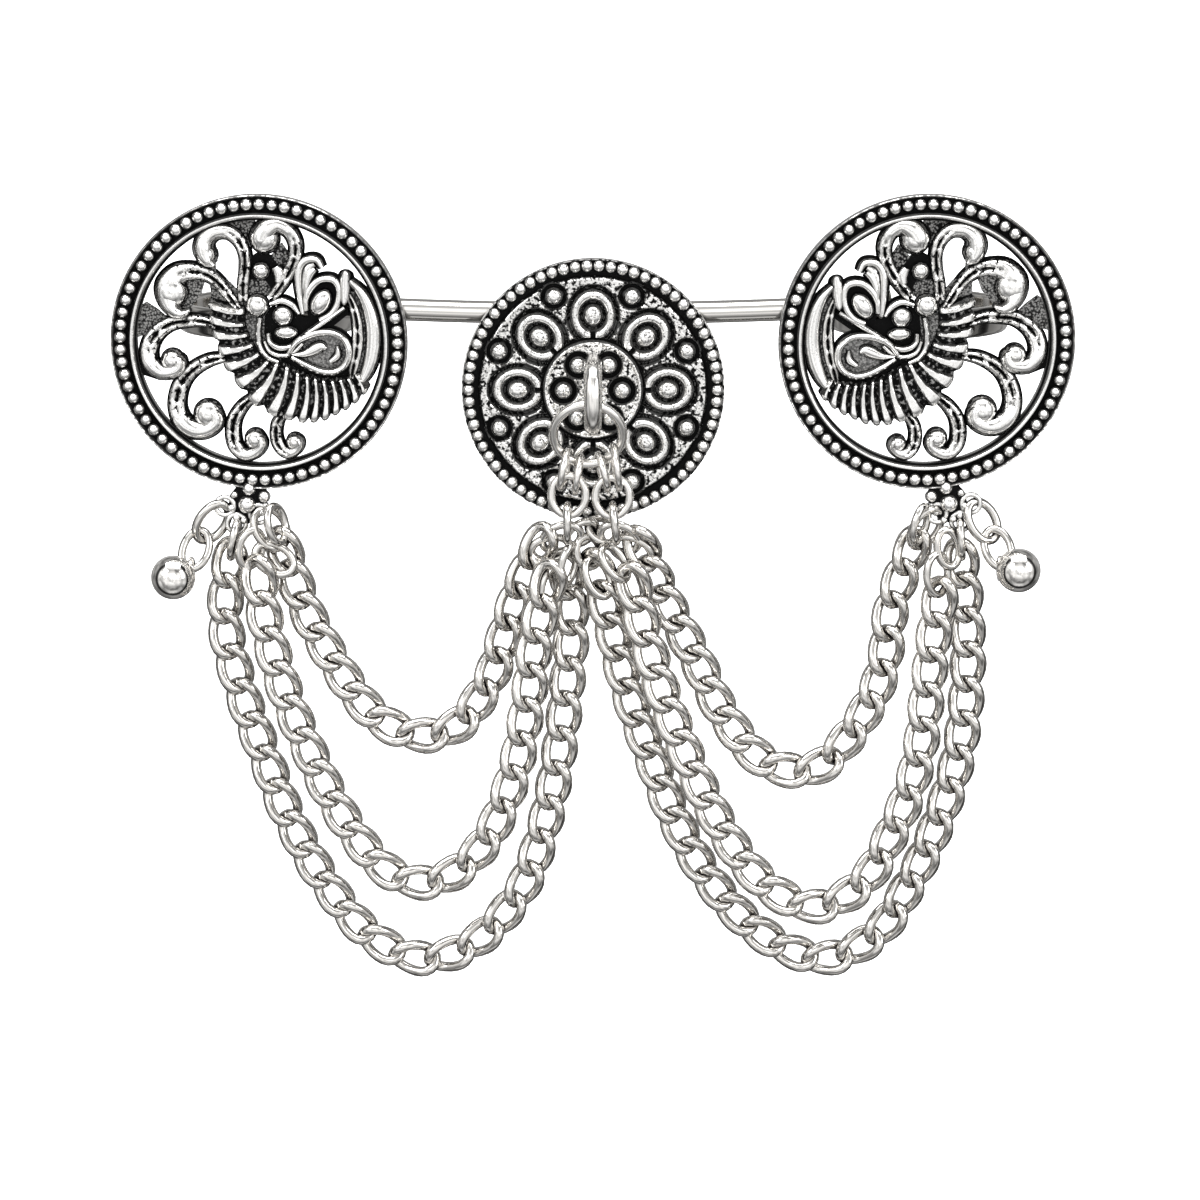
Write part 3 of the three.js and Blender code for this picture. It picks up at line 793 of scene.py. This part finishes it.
def stippled_material(name, ground_height, amount):
    """Blackened ground punched all over, with the high spots rubbed grey."""
    material = antique_material(name, ground_height - 0.05, ground_height + 0.75, speckle=0.05, grain=0)
    tree = material.node_tree
    base = tree.nodes["Principled BSDF"].inputs["Base Color"]
    place = add_node(tree, "ShaderNodeTexCoord").outputs["Object"]
    punches = add_node(tree, "ShaderNodeTexVoronoi", {"Vector": place, "Scale": 4600}).outputs["Distance"]
    spots = stretched(tree, punches, 0.62, 0.30, 0, amount)
    tree.links.new(mixed(tree, spots, base.links[0].from_socket, RUBBED_SPOT), base)
    return material


web_silver = stippled_material("antique_silver_webs", 1.80, 0.32)
on_both_sides("webs", lambda mesh: build_plates(mesh, WEBS), web_silver)
black_silver = antique_material("antique_silver_black", 2.2, 2.6)
on_both_sides("black_plates", lambda mesh: build_plates(mesh, BLACK_PLATES, WEB_STEP / 2), black_silver)


# Head, wing and crest
# The head turns back over the body: a bead for the eye, a curved neck of fine raised lines, a
# drop-shaped wing, a leaf, an oval and a broad crescent against the rim.
WIRE_SECTION = whole_section([
    (-1.5, 0), (-1.5, 0.42), (-1.05, 0.50), (-0.98, 0.72), (-0.80, 0.92), (-0.45, 1.05), (0, 1.1),
])
LINE_WIDEN = 1.22
LINE_FRONT = -2.55
FINE_LINES = [
    [(4.5, 3.0, 0.24), (4.15, 5.2, 0.34), (4.1, 7.2, 0.36), (4.5, 8.1, 0.34), (5.2, 8.5, 0.34),
     (6.0, 8.4, 0.34), (6.5, 7.6, 0.28)],
    [(4.8, 4.4, 0.18), (4.9, 5.9, 0.30), (5.3, 7.0, 0.36), (5.8, 7.5, 0.28)],
    [(4.8, 3.3, 0.24), (4.8, 4.5, 0.30), (5.4, 5.7, 0.34), (6.4, 6.45, 0.34), (7.6, 6.4, 0.34),
     (8.1, 5.7, 0.30), (8.1, 4.3, 0.30), (7.4, 3.0, 0.32), (6.2, 2.3, 0.28)],
    [(8.9, 7.35, 0.12), (8.87, 7.1, 0.36), (8.8, 6.2, 0.50), (8.75, 5.1, 0.48), (8.7, 4.2, 0.34),
     (8.68, 3.9, 0.12)],
    [(0.15, 2.6, 0.24), (-0.05, 0.9, 0.28), (0.15, -0.5, 0.28), (0.9, -1.5, 0.26), (1.9, -1.95, 0.24)],
    [(0.95, 1.0, 0.20), (1.1, 0.1, 0.24), (1.8, -0.45, 0.28), (2.7, -0.5, 0.28), (3.7, -0.1, 0.28),
     (4.9, 0.95, 0.28), (6.3, 1.95, 0.28), (7.5, 2.75, 0.26), (8.7, 3.6, 0.22)],
    [(0.55, 0.2, 0.16), (1.15, -0.9, 0.22), (2.4, -1.3, 0.25), (3.5, -0.9, 0.25), (4.4, 0.0, 0.22)],
    [(1.8, 7.7, 0.36), (2.15, 7.0, 0.48), (2.1, 6.2, 0.34)],
    [(1.2, 3.95, 0.22), (2.4, 4.3, 0.30), (3.5, 3.8, 0.28), (4.1, 3.0, 0.20)],
]
LEAF = [(4.5, 4.6, 0.16), (4.7, 6.2, 0.50), (5.2, 7.6, 0.75), (5.7, 8.0, 0.40)]
WING = [
    (3.0, -1.05, 0.28), (3.7, 0.0, 0.34), (4.6, 0.6, 0.38), (6.1, 1.05, 0.38), (7.6, 1.0, 0.38),
    (8.7, 0.25, 0.38), (9.1, -1.0, 0.38), (8.6, -2.3, 0.38), (7.5, -2.95, 0.38), (6.1, -2.85, 0.38),
    (4.6, -2.2, 0.36), (3.3, -1.4, 0.28),
]
WING_DROP = [
    (3.3, -1.15, 0.20), (4.6, -1.1, 0.48), (5.6, -0.65, 0.72), (6.3, -0.35, 0.62), (6.8, -0.5, 0.30),
]
WING_SPOT = [(7.9, -0.3, 0.26), (7.9, -1.3, 0.50), (7.2, -1.9, 0.36)]
CRESCENT_OUTER = [
    (9.3, 6.3, 0.38), (10.4, 5.1, 0.62), (11.25, 3.2, 0.80), (11.6, 0.8, 0.88), (11.35, -1.5, 0.84),
    (10.7, -3.3, 0.66), (10.1, -4.3, 0.36),
]
CRESCENT_INNER = [
    (9.1, 4.9, 0.32), (9.6, 3.6, 0.46), (9.9, 2.2, 0.54), (10.0, 0.6, 0.58), (9.8, -1.2, 0.56),
    (9.45, -2.7, 0.46), (9.3, -3.6, 0.30),
]
# Rows are (line, section, front, steps from point to point)
HEAD_STRIPS = [
    (WING, WIRE_SECTION, -2.75, 5),
    (WING_DROP, CURL_SECTION, -2.4, 6),
    (WING_SPOT, CURL_SECTION, -2.2, 6),
    (LEAF, CURL_SECTION, -2.15, 6),
    (CRESCENT_OUTER, CURL_SECTION, -2.35, 6),
]
# Rows are (x, z, radius, base, top, length over width, turn in degrees): beads, then leaf and oval
HEAD_DOMES = [
    (-0.1, 3.75, 1.28, -1.7, -3.2, 1.0, 0),
    (2.45, 2.75, 1.12, -1.7, -3.0, 1.0, 0),
    (0.35, 7.3, 1.0, -1.5, -2.95, 1.0, 0),
    (2.75, 1.05, 0.75, -1.7, -2.95, 1.75, 90),
    (6.3, 4.1, 1.05, -1.7, -3.0, 1.5, 32),
]


def build_head(mesh):
    fine_strips = [
        ([(x, z, LINE_WIDEN * half_width) for x, z, half_width in line], WIRE_SECTION, LINE_FRONT, 5)
        for line in FINE_LINES
    ]
    for line, section, front, steps in fine_strips + HEAD_STRIPS:
        cast_strip(mesh, line, lambda part: section, SCROLL_BACK, front, steps)
    cast_strip(mesh, CRESCENT_INNER, dashed_section, SCROLL_BACK, SCROLL_FRONT, 9)
    for x, z, radius, base, top, stretch, turn in HEAD_DOMES:
        dome(mesh, x, z, radius, base, top, stretch, math.radians(turn))


head_silver = antique_material("antique_silver_head", 2.20, 2.45, speckle=0.10)
on_both_sides("head_and_wing", build_head, head_silver)


# Lugs
# Under each outer medallion a lump of shot beads on a blackened plate holds three small eyes for
# the chains. Rows are (x, z, radius) from the middle of the medallion.
LUG_PLATE = [
    (-3.3, -13.9), (-2.7, -14.9), (-3.3, -15.6), (-3.5, -16.8), (-2.9, -18.1), (-1.6, -18.7),
    (-0.3, -18.0), (0.4, -16.6), (0.6, -15.6), (0.2, -14.9), (0.5, -14.3),
]
LUG_BEADS = [
    (-1.6, -16.65, 0.80), (-1.35, -15.0, 0.62), (0.2, -15.8, 0.56), (-2.85, -15.6, 0.34),
    (-3.2, -17.0, 0.36), (-2.7, -18.0, 0.36), (-1.95, -18.3, 0.36), (-1.0, -18.35, 0.36),
    (-0.2, -17.45, 0.38), (0.3, -16.7, 0.3),
]
LUG_EYES = [(-3.85, -16.8), (-2.7, -18.6), (-0.35, -17.6)]
LUG_EYE_RADIUS = 0.95
LUG_EYE_WIRE = 0.26
LUG_EYE_Y = -2.3
LUG_FRONT = -2.35
LUG_BACK = -1.5
LUG_BEAD_BASE = -2.25
LUG_BEAD_WIDEN = 1.15
LUG_BEAD_RISE = 1.1


def build_lug_plate(mesh):
    flat_plate(mesh, LUG_PLATE, LUG_FRONT, LUG_BACK)


def build_lug_beads(mesh):
    for x, z, radius in LUG_BEADS:
        dome(mesh, x, z, LUG_BEAD_WIDEN * radius, LUG_BEAD_BASE, LUG_FRONT - LUG_BEAD_RISE * radius)
    for x, z in LUG_EYES:
        circle = [
            (x + LUG_EYE_RADIUS * math.cos(a), LUG_EYE_Y, z + LUG_EYE_RADIUS * math.sin(a))
            for a in (2 * math.pi * k / 28 for k in range(28))
        ]
        round_wire(mesh, circle, LUG_EYE_WIRE, 10, True)


lug_silver = antique_material("antique_silver_lug", 2.55, 2.85, speckle=0.06)
lug_bead_silver = antique_material("antique_silver_shot", 2.25, 2.60, speckle=0.05, wear=0.35)
on_both_sides("lug_plate", build_lug_plate, lug_silver)
on_both_sides("lug_beads", build_lug_beads, lug_bead_silver)


# Middle medallion
# A round cast boss with eight ringed studs, eight plain ones between them and six small ones in
# an inner circle, all standing in blackened grooves. The face is one relief, shaped by height.
MIDDLE_Z = -7.15
MIDDLE_BEAD_CIRCLE = 12.62
MIDDLE_BEADS = 66
MIDDLE_FACE = -2.42
MIDDLE_EDGE = [
    (12.0, -2.05), (12.6, -2.02), (13.1, -2.08), (13.22, -2.40), (13.32, -2.42), (13.36, -2.1),
    (13.3, -1.2), (13.1, CAST_BACK), (7.0, CAST_BACK),
]
FACE_SEGMENTS = 360
FACE_ROWS = 111
FACE_START = 0.3
FACE_STEP = 0.104
EIGHTH = math.pi / 4
RINGED_STUD_CIRCLE = 7.6
PLAIN_STUD_CIRCLE = 10.3
INNER_STUDS = [(-1.5, 2.5), (1.57, 2.5), (-3.0, -0.1), (2.95, -0.1), (-1.6, -2.9), (1.7, -2.9)]


def dish_out(distance, middle, half_width, depth):
    """A groove or, with a negative depth, a raised line at a distance."""
    part = abs(distance - middle) / half_width
    return depth * (1 - part * part) if part < 1 else 0.0


def stud(distance, radius, height):
    return height * math.sqrt(1 - (distance / radius) ** 2) if distance < radius else 0.0


def relief_at(x, z):
    """Height of the face above its ground, in millimetres."""
    radius = math.hypot(x, z)
    bearing = math.atan2(x, z)
    height = 0.02 * math.sin(9 * x + 3 * z) * math.sin(8 * z - 2 * x)
    height -= dish_out(radius, 5.28, 0.36, 0.55)
    height += dish_out(radius, 4.78, 0.22, 0.16)
    height -= dish_out(radius, 11.75, 0.34, 0.45)
    # Ringed studs: the stud, its groove, a C-shaped band open to the middle, and an outer groove
    sector = round(bearing / EIGHTH) * EIGHTH
    across = x * math.cos(sector) - z * math.sin(sector)
    outward = x * math.sin(sector) + z * math.cos(sector) - RINGED_STUD_CIRCLE
    oval = math.hypot(across, outward * 0.86)
    in_gap = outward < -1.2 and abs(across) < 0.26
    if oval < 2.75 and radius > 5.35:
        height = stud(oval, 0.86, 0.62)
        height -= dish_out(oval, 1.14, 0.32, 0.55)
        height += -0.45 if in_gap else dish_out(oval, 1.82, 0.42, 0.30)
        height -= dish_out(oval, 2.44, 0.34, 0.55)
        height += dish_out(oval, 1.17, 0.06, 0.36)
        height += dish_out(oval, 2.45, 0.06, 0.36)
    # Plain studs between them
    halfway = (math.floor(bearing / EIGHTH) + 0.5) * EIGHTH
    reach = math.hypot(x - PLAIN_STUD_CIRCLE * math.sin(halfway), z - PLAIN_STUD_CIRCLE * math.cos(halfway))
    if reach < 1.42:
        height = stud(reach, 0.78, 0.55) - dish_out(reach, 1.08, 0.34, 0.55)
    for stud_x, stud_z in INNER_STUDS:
        reach = math.hypot(x - stud_x, z - stud_z)
        if reach < 1.5:
            height = stud(reach, 0.76, 0.50) - dish_out(reach, 1.12, 0.38, 0.55)
    return height


def build_middle(mesh):
    around = [2 * math.pi * k / FACE_SEGMENTS for k in range(FACE_SEGMENTS)]
    centre = mesh.verts.new((0, MIDDLE_FACE * MM, MIDDLE_Z * MM))
    rows = []
    for r in [FACE_START + FACE_STEP * i for i in range(FACE_ROWS)]:
        rows.append([
            mesh.verts.new((
                r * math.sin(a) * MM,
                (MIDDLE_FACE - relief_at(r * math.sin(a), r * math.cos(a))) * MM,
                (MIDDLE_Z + r * math.cos(a)) * MM,
            ))
            for a in around
        ])
    for r, y in MIDDLE_EDGE:
        rows.append([
            mesh.verts.new((r * math.sin(a) * MM, y * MM, (MIDDLE_Z + r * math.cos(a)) * MM))
            for a in around
        ])
    end = mesh.verts.new((0, CAST_BACK * MM, MIDDLE_Z * MM))
    for k in range(FACE_SEGMENTS):
        j = (k + 1) % FACE_SEGMENTS
        mesh.faces.new((centre, rows[0][k], rows[0][j]))
        mesh.faces.new((end, rows[-1][j], rows[-1][k]))
        for first, second in zip(rows, rows[1:]):
            mesh.faces.new((first[k], second[k], second[j], first[j]))


middle_silver = antique_material(
    "antique_silver_middle", 2.26, 2.42, side_light=0.45, speckle=0.22, grain=0.9,
)
middle_mesh = bmesh.new()
build_middle(middle_mesh)
make_piece("middle_medallion", middle_mesh, middle_silver, ["ring_frame"])
middle_beads = grown_mesh("middle_bead_carrier", bpy.data.meshes.new("bead_points"), bead_row, {
    "Bead Count": MIDDLE_BEADS,
    "Circle Radius": MIDDLE_BEAD_CIRCLE * MM,
    "Bead Radius": BEAD_RADIUS * MM,
    "Centre": (0, MIDDLE_FACE * MM, MIDDLE_Z * MM),
    "Seed": 11,
    "Finish": bead_silver,
})
make_piece("middle_medallion_beads", middle_beads, bead_silver, ["ring_frame"], 180)


# Staple
# A loop of round silver wire whose legs go through the middle medallion and are soldered behind
# it. The large ring that carries the chains hangs in it.
STAPLE_HALF_SPAN = 2.8
STAPLE_WIRE = 0.92
STAPLE_LEG = (-1.75, -4.5, -7.4)
STAPLE_BOW = 1.9
STAPLE_STEPS = 16
staple_line = [(y, STAPLE_HALF_SPAN) for y in STAPLE_LEG]
for step in range(1, STAPLE_STEPS):
    angle = math.pi * step / STAPLE_STEPS
    staple_line.append((STAPLE_LEG[-1] - STAPLE_BOW * math.sin(angle), STAPLE_HALF_SPAN * math.cos(angle)))
staple_line += [(y, -STAPLE_HALF_SPAN) for y in reversed(STAPLE_LEG)]
staple_line = [(0, y, z + MIDDLE_Z) for y, z in staple_line]
staple_mesh = bmesh.new()
round_wire(staple_mesh, staple_line, STAPLE_WIRE, 24)
# The staple and the rings in front of the middle medallion share this silver: its rougher finish stands for
# wear, and its lighter tint is painted light that brightens their reflections.
lightened_ring_silver = silver_material("lightened_ring_silver", (0.84, 0.82, 0.79), 0.15, 0.26)
make_piece("staple", staple_mesh, lightened_ring_silver, ["ring_frame"])


# Rings and single links
# Loops of round silver wire, closed by hand: the large ring in the staple, the small rings and
# links under it, and those on the lugs. Those in front of the middle medallion are a little worn, with a
# lighter tint as painted light.
RING_WIRE = 0.42
# Rows are (solid, middle, half length and width, lean, turn and swing in degrees, wire radius)
RINGS = [
    ("centre_ring", (-0.5, -6.0, -11.1), (3.5, 3.5), (22, 0, 0), 0.48),
    ("small_ring_1", (-2.85, -5.15, -14.8), (1.95, 1.95), (0, 83, 12), 0.38),
    ("small_ring_2", (-1.5, -4.95, -15.4), (1.85, 1.85), (0, 87, 10), 0.36),
    ("small_ring_3", (0.95, -5.0, -15.15), (1.85, 1.85), (0, 98, -14), 0.38),
    ("small_ring_4", (2.3, -5.3, -14.6), (2.2, 2.2), (0, 94, -8), 0.36),
    ("left_hanger_link", (-2.48, -5.2, -17.5), (2.05, 1.75), (0, 0, 0)),
    ("right_hanger_link", (1.97, -5.25, -17.65), (2.0, 1.75), (0, 0, 0)),
    ("left_drop_link", (-2.6, -5.3, -20.35), (1.85, 1.25), (0, 90, 0)),
    ("right_drop_link", (2.2, -5.3, -20.35), (1.9, 1.25), (0, 90, -6)),
    ("left_gather_ring", (-3.2, -3.8, -22.2), (2.1, 1.5), (12, 20, 62)),
    ("right_gather_ring", (2.7, -3.8, -22.2), (2.1, 1.5), (12, -20, -58)),
    ("left_lug_ring", (-33.0, -2.3, -21.5), (2.2, 1.7), (0, 35, -30)),
    ("left_lug_link", (-36.75, -2.2, -22.65), (1.9, 1.3), (0, 85, 12)),
    ("left_ball_link_1", (-39.0, -2.2, -20.85), (2.2, 1.5), (0, 30, 34), 0.46),
    ("left_ball_link_2", (-40.65, -3.05, -23.55), (2.1, 1.3), (-25, 0, 20)),
    ("right_lug_ring", (34.05, -2.3, -21.45), (2.2, 1.7), (0, 35, 30)),
    ("right_lug_link", (37.7, -2.2, -22.6), (1.9, 1.3), (0, 85, -4)),
    ("right_ball_link_1", (39.87, -2.2, -20.75), (2.2, 1.5), (0, 30, -32), 0.46),
    ("right_ball_link_2", (41.4, -3.1, -23.4), (2.1, 1.3), (-25, 0, -20)),
]
# Spare links bunched where the swags meet; each is shown with the ring it hangs from
BUNCHED_LINKS = [
    ("left_gather_ring", (-4.3, -3.4, -23.4), (2.0, 1.3), (0, 15, 80)),
    ("left_gather_ring", (-2.5, -4.6, -24.8), (2.1, 1.3), (0, 55, 12)),
    ("left_gather_ring", (-4.5, -3.6, -27.6), (2.1, 1.3), (0, 50, 8)),
    ("left_gather_ring", (-0.5, -3.9, -23.6), (1.6, 1.3), (0, 25, -15)),
    ("left_gather_ring", (-1.2, -3.6, -21.7), (1.7, 1.2), (0, 30, 55)),
    ("right_gather_ring", (1.1, -3.4, -21.5), (1.7, 1.2), (0, 30, -65)),
    ("right_gather_ring", (3.9, -3.3, -23.5), (2.1, 1.35), (0, -20, -68)),
    ("right_gather_ring", (0.5, -4.4, -26.2), (2.1, 1.3), (0, 35, -25)),
    ("right_gather_ring", (4.1, -3.4, -27.2), (2.1, 1.3), (0, 50, -20)),
    ("right_gather_ring", (2.2, -4.6, -24.6), (2.0, 1.3), (0, 50, -35)),
    ("left_lug_ring", (-35.0, -3.2, -23.4), (1.95, 1.25), (0, 25, 14)),
    ("left_lug_ring", (-32.3, -3.2, -20.9), (1.9, 1.3), (0, 55, -12)),
    ("left_lug_ring", (-32.6, -3.3, -24.5), (2.1, 1.4), (0, 15, -60)),
    ("right_lug_ring", (36.3, -3.2, -23.4), (1.95, 1.25), (0, 25, -14)),
    ("right_lug_ring", (33.4, -3.2, -20.9), (1.9, 1.3), (0, 55, 12)),
    ("right_lug_ring", (35.2, -3.8, -26.0), (2.1, 1.4), (0, 35, -4)),
]


def loop_line(half_length, half_width, steps=44):
    """An upright oval of points, as a ring or link lies before it is turned."""
    return [
        Vector((half_width * math.sin(a), 0, half_length * math.cos(a)))
        for a in (2 * math.pi * k / steps for k in range(steps))
    ]


WORN_LIGHTENED_RINGS = (
    "centre_ring", "small_ring_1", "small_ring_2", "small_ring_3", "small_ring_4", "left_hanger_link",
    "right_hanger_link",
)


def wire_loop(name, silver, node, at, size, angles, wire=RING_WIRE):
    """A closed loop of wire, turned and set in place, that stands for a solid."""
    lean, turn, swing = (math.radians(angle) for angle in angles)
    turned_to = (
        Matrix.Rotation(swing, 3, "Y") @ Matrix.Rotation(lean, 3, "X") @ Matrix.Rotation(turn, 3, "Z")
    )
    line = [turned_to @ point + Vector(at) for point in loop_line(*size)]
    mesh = bmesh.new()
    round_wire(mesh, line, wire, 16, True)
    make_piece(name, mesh, silver, [node])


for row in RINGS:
    wire_loop(row[0] + "_wire", lightened_ring_silver if row[0] in WORN_LIGHTENED_RINGS else bright_silver, *row)
for number, row in enumerate(BUNCHED_LINKS):
    wire_loop(f"bunched_link_{number + 1}", bright_silver, *row)


# Ball drops
# Two hollow silver balls hang from the ends of the short drops. Each has a short stalk and an
# eye of thin wire round the last link.
BALL_RADIUS = 2.25
BALLS = [
    {"node": "left_ball", "at": (-42.6, -6.35, -25.75), "eye": (1.6, 2.3, 0.3)},
    {"node": "right_ball", "at": (43.15, -6.45, -25.0), "eye": (-1.6, 2.3, -0.3)},
]
BALL_EYE_RADIUS = 1.05
BALL_EYE_WIRE = 0.3
# Rows are (distance from the ball's middle, radius)
STALK = [(1.9, 0.72), (2.1, 0.70), (2.26, 0.62), (2.36, 0.46), (2.4, 0.36)]
ball_silver = silver_material("ball_silver", (0.86, 0.84, 0.81), 0.05, 0.12)
for ball in BALLS:
    ball_mesh = bmesh.new()
    ball_at = Vector(ball["at"])
    eye_at = ball_at + Vector(ball["eye"])
    towards_eye = Vector(ball["eye"]).normalized()
    made = bmesh.ops.create_uvsphere(ball_mesh, u_segments=48, v_segments=28, radius=BALL_RADIUS * MM)
    bmesh.ops.transform(ball_mesh, matrix=Matrix.Translation(ball_at * MM), verts=made["verts"])
    stalk_line = [ball_at + towards_eye * distance for distance, radius in STALK]
    round_wire(ball_mesh, stalk_line, [radius for distance, radius in STALK], 18)
    eye_line = [
        eye_at + Vector((0, BALL_EYE_RADIUS * math.cos(a), BALL_EYE_RADIUS * math.sin(a)))
        for a in (2 * math.pi * k / 32 for k in range(32))
    ]
    round_wire(ball_mesh, eye_line, BALL_EYE_WIRE, 12, True)
    make_piece(ball["node"] + "_drop", ball_mesh, ball_silver, [ball["node"]])


# Chains
# Six swags of curb chain hang from the lugs to the rings in the middle. A link is an oval of round
# wire twisted so that the chain lies flat. Routes are link centres from the lug to the middle.
LINK_HALF_LENGTH = 2.30
LINK_HALF_WIDTH = 1.42
LINK_TWIST = 0.58
LINK_PITCH = 3.72
LINK_WIRE = 0.56
chain_silver = silver_material("chain_silver", (0.66, 0.64, 0.61), 0.04, 0.10)
CHAINS = [
    {"node": "left_chain_outer", "route": [
        (-37.25, -2.2, -25.1), (-37.9, -2.2, -31), (-36.6, -2.1, -37.9), (-34.3, -2, -45.1),
        (-31.8, -2, -52.2), (-28, -2, -59.5), (-23.3, -2, -65.4), (-18.2, -2, -67.8),
        (-12.9, -2, -66.3), (-7.7, -2, -60.5), (-5.1, -2, -53.2), (-3.6, -2, -45.7), (-2.7, -2, -38.2),
        (-2.2, -1.9, -31.3), (-2.7, -1.9, -26.4),
    ]},
    {"node": "left_chain_middle", "route": [
        (-34.1, -3.8, -26.6), (-33.6, -3.8, -30.7), (-31.8, -3.5, -38.2), (-29.3, -3.5, -44.9),
        (-26.2, -3.5, -51.5), (-21.6, -3.5, -57.6), (-17.6, -3.5, -59), (-13.6, -3.5, -57.3),
        (-10.3, -3.5, -52.9), (-7.9, -3.5, -46), (-6.6, -3.9, -38.7), (-5.9, -4.5, -33),
        (-4.6, -5, -26.8),
    ]},
    {"node": "left_chain_inner", "route": [
        (-31.6, -2, -23.9), (-29.6, -2, -30), (-27.2, -2.2, -34.7), (-23.2, -2.2, -40.7),
        (-19, -2.2, -43.3), (-14.5, -2.3, -42.6), (-10.8, -2.4, -37.7), (-8.9, -2.2, -32),
        (-7.5, -2.6, -27.6), (-5.55, -3.6, -23.15),
    ]},
    {"node": "right_chain_outer", "route": [
        (37.8, -2.1, -25.1), (38.5, -2, -30.5), (38.7, -2.2, -38), (38, -2.1, -45.5), (36, -2, -52.9),
        (33.1, -2, -59.8), (29.5, -2, -65.4), (24, -2, -67.8), (17.6, -2, -65), (12.4, -2, -59.4),
        (8.7, -2, -52.8), (6, -2, -45.6), (3.6, -2.2, -38.6), (1.9, -2.8, -31.6), (0.5, -3.9, -25.7),
    ]},
    {"node": "right_chain_middle", "route": [
        (35.5, -3.8, -28.9), (34.9, -3.7, -33.4), (34.4, -3.5, -39.5), (33.5, -3.5, -46.6),
        (31.2, -3.5, -53.4), (27.6, -3.5, -59.6), (22.4, -3.5, -61.6), (17.1, -3.5, -58.3),
        (12.9, -3.5, -52.1), (9.7, -3.8, -45.1), (7, -4.2, -37.8), (5.2, -4.8, -31.4), (4.2, -4.9, -27),
    ]},
    {"node": "right_chain_inner", "route": [
        (32.65, -2.1, -23.9), (31.4, -2, -27.4), (30.7, -2, -30), (29.8, -2.2, -37), (27, -2.2, -42.9),
        (23, -2.2, -47), (18.2, -2.2, -46.5), (13.8, -2.2, -41.6), (10.6, -2.2, -35.1),
        (7.2, -2.5, -28.4), (5.05, -3.65, -23.3),
    ]},
]


def curb_chain_tree():
    """Geometry nodes that lay twisted links along a line, their faces to the front."""
    tree, given = open_tree("curb_chain", (
        ("Half Length", "Float"), ("Half Width", "Float"), ("Twist", "Float"), ("Wire Radius", "Float"),
        ("Pitch", "Float"), ("Looseness", "Float"), ("Seed", "Int"),
    ))

    # How many links the line takes
    length = add_node(tree, "GeometryNodeCurveLength", {"Curve": given["Geometry"]}).outputs["Length"]
    spaces = maths(tree, "ROUND", maths(tree, "DIVIDE", length, given["Pitch"]))
    line = add_node(tree, "GeometryNodeResampleCurve", {
        "Curve": given["Geometry"], "Count": maths(tree, "ADD", spaces, 1),
    })
    points = add_node(tree, "GeometryNodeCurveToPoints", {"Curve": line.outputs["Curve"]}, mode="EVALUATED")

    # One link: an oval whose wire rises and dips twice on the way round
    oval = add_node(tree, "GeometryNodeCurvePrimitiveCircle", {"Resolution": 22, "Radius": 1})
    spot = add_node(tree, "GeometryNodeInputPosition").outputs[0]
    parts = add_node(tree, "ShaderNodeSeparateXYZ", {0: spot}).outputs
    rise = maths(tree, "MULTIPLY", maths(tree, "MULTIPLY", parts["X"], parts["Y"]), -2)
    shaped = add_node(tree, "ShaderNodeCombineXYZ", {
        "X": maths(tree, "MULTIPLY", parts["Y"], given["Half Width"]),
        "Y": maths(tree, "MULTIPLY", rise, given["Twist"]),
        "Z": maths(tree, "MULTIPLY", parts["X"], given["Half Length"]),
    })
    bent = add_node(tree, "GeometryNodeSetPosition", {
        "Geometry": oval.outputs["Curve"], "Position": shaped.outputs[0],
    })
    section = add_node(tree, "GeometryNodeCurvePrimitiveCircle", {
        "Resolution": 9, "Radius": given["Wire Radius"],
    })
    wire = add_node(tree, "GeometryNodeCurveToMesh", {
        "Curve": bent.outputs["Geometry"], "Profile Curve": section.outputs["Curve"],
    })

    # Links along the line, each rolled a little in its neighbour
    back = add_node(tree, "ShaderNodeVectorMath", {
        0: points.outputs["Tangent"], "Scale": -1,
    }, operation="SCALE")
    facing = add_node(tree, "FunctionNodeAxesToRotation", {
        "Primary Axis": back.outputs[0], "Secondary Axis": (0, 1, 0),
    }, primary_axis="Z", secondary_axis="Y")
    chance = add_node(tree, "FunctionNodeRandomValue", {
        2: maths(tree, "MULTIPLY", given["Looseness"], -1), 3: given["Looseness"], "Seed": given["Seed"],
    }, data_type="FLOAT")
    roll = add_node(tree, "FunctionNodeAxisAngleToRotation", {
        "Axis": (0, 0, 1), "Angle": chance.outputs[1],
    })
    rolled = add_node(tree, "FunctionNodeRotateRotation", {
        "Rotation": facing.outputs[0], "Rotate By": roll.outputs[0],
    }, rotation_space="LOCAL")
    spread = add_node(tree, "GeometryNodeInstanceOnPoints", {
        "Points": points.outputs["Points"], "Instance": wire.outputs["Mesh"], "Rotation": rolled.outputs[0],
    })
    return close_tree(tree, given, spread.outputs["Instances"])


curb_chain = curb_chain_tree()
for number, chain in enumerate(CHAINS):
    chain_line = curve_through(chain["route"], 16)
    chain_curve = bpy.data.curves.new(chain["node"] + "_line", "CURVE")
    chain_curve.dimensions = "3D"
    spline = chain_curve.splines.new("POLY")
    spline.points.add(len(chain_line) - 1)
    for spot, point in zip(spline.points, chain_line):
        spot.co = (*(point * MM), 1)
    chain_mesh = grown_mesh(chain["node"] + "_carrier", chain_curve, curb_chain, {
        "Half Length": LINK_HALF_LENGTH * MM,
        "Half Width": LINK_HALF_WIDTH * MM,
        "Twist": LINK_TWIST * MM,
        "Wire Radius": LINK_WIRE * MM,
        "Pitch": LINK_PITCH * MM,
        "Looseness": math.radians(5),
        "Seed": 20 + number,
        "Finish": chain_silver,
    })
    make_piece(chain["node"] + "_links", chain_mesh, chain_silver, [chain["node"]], 180)
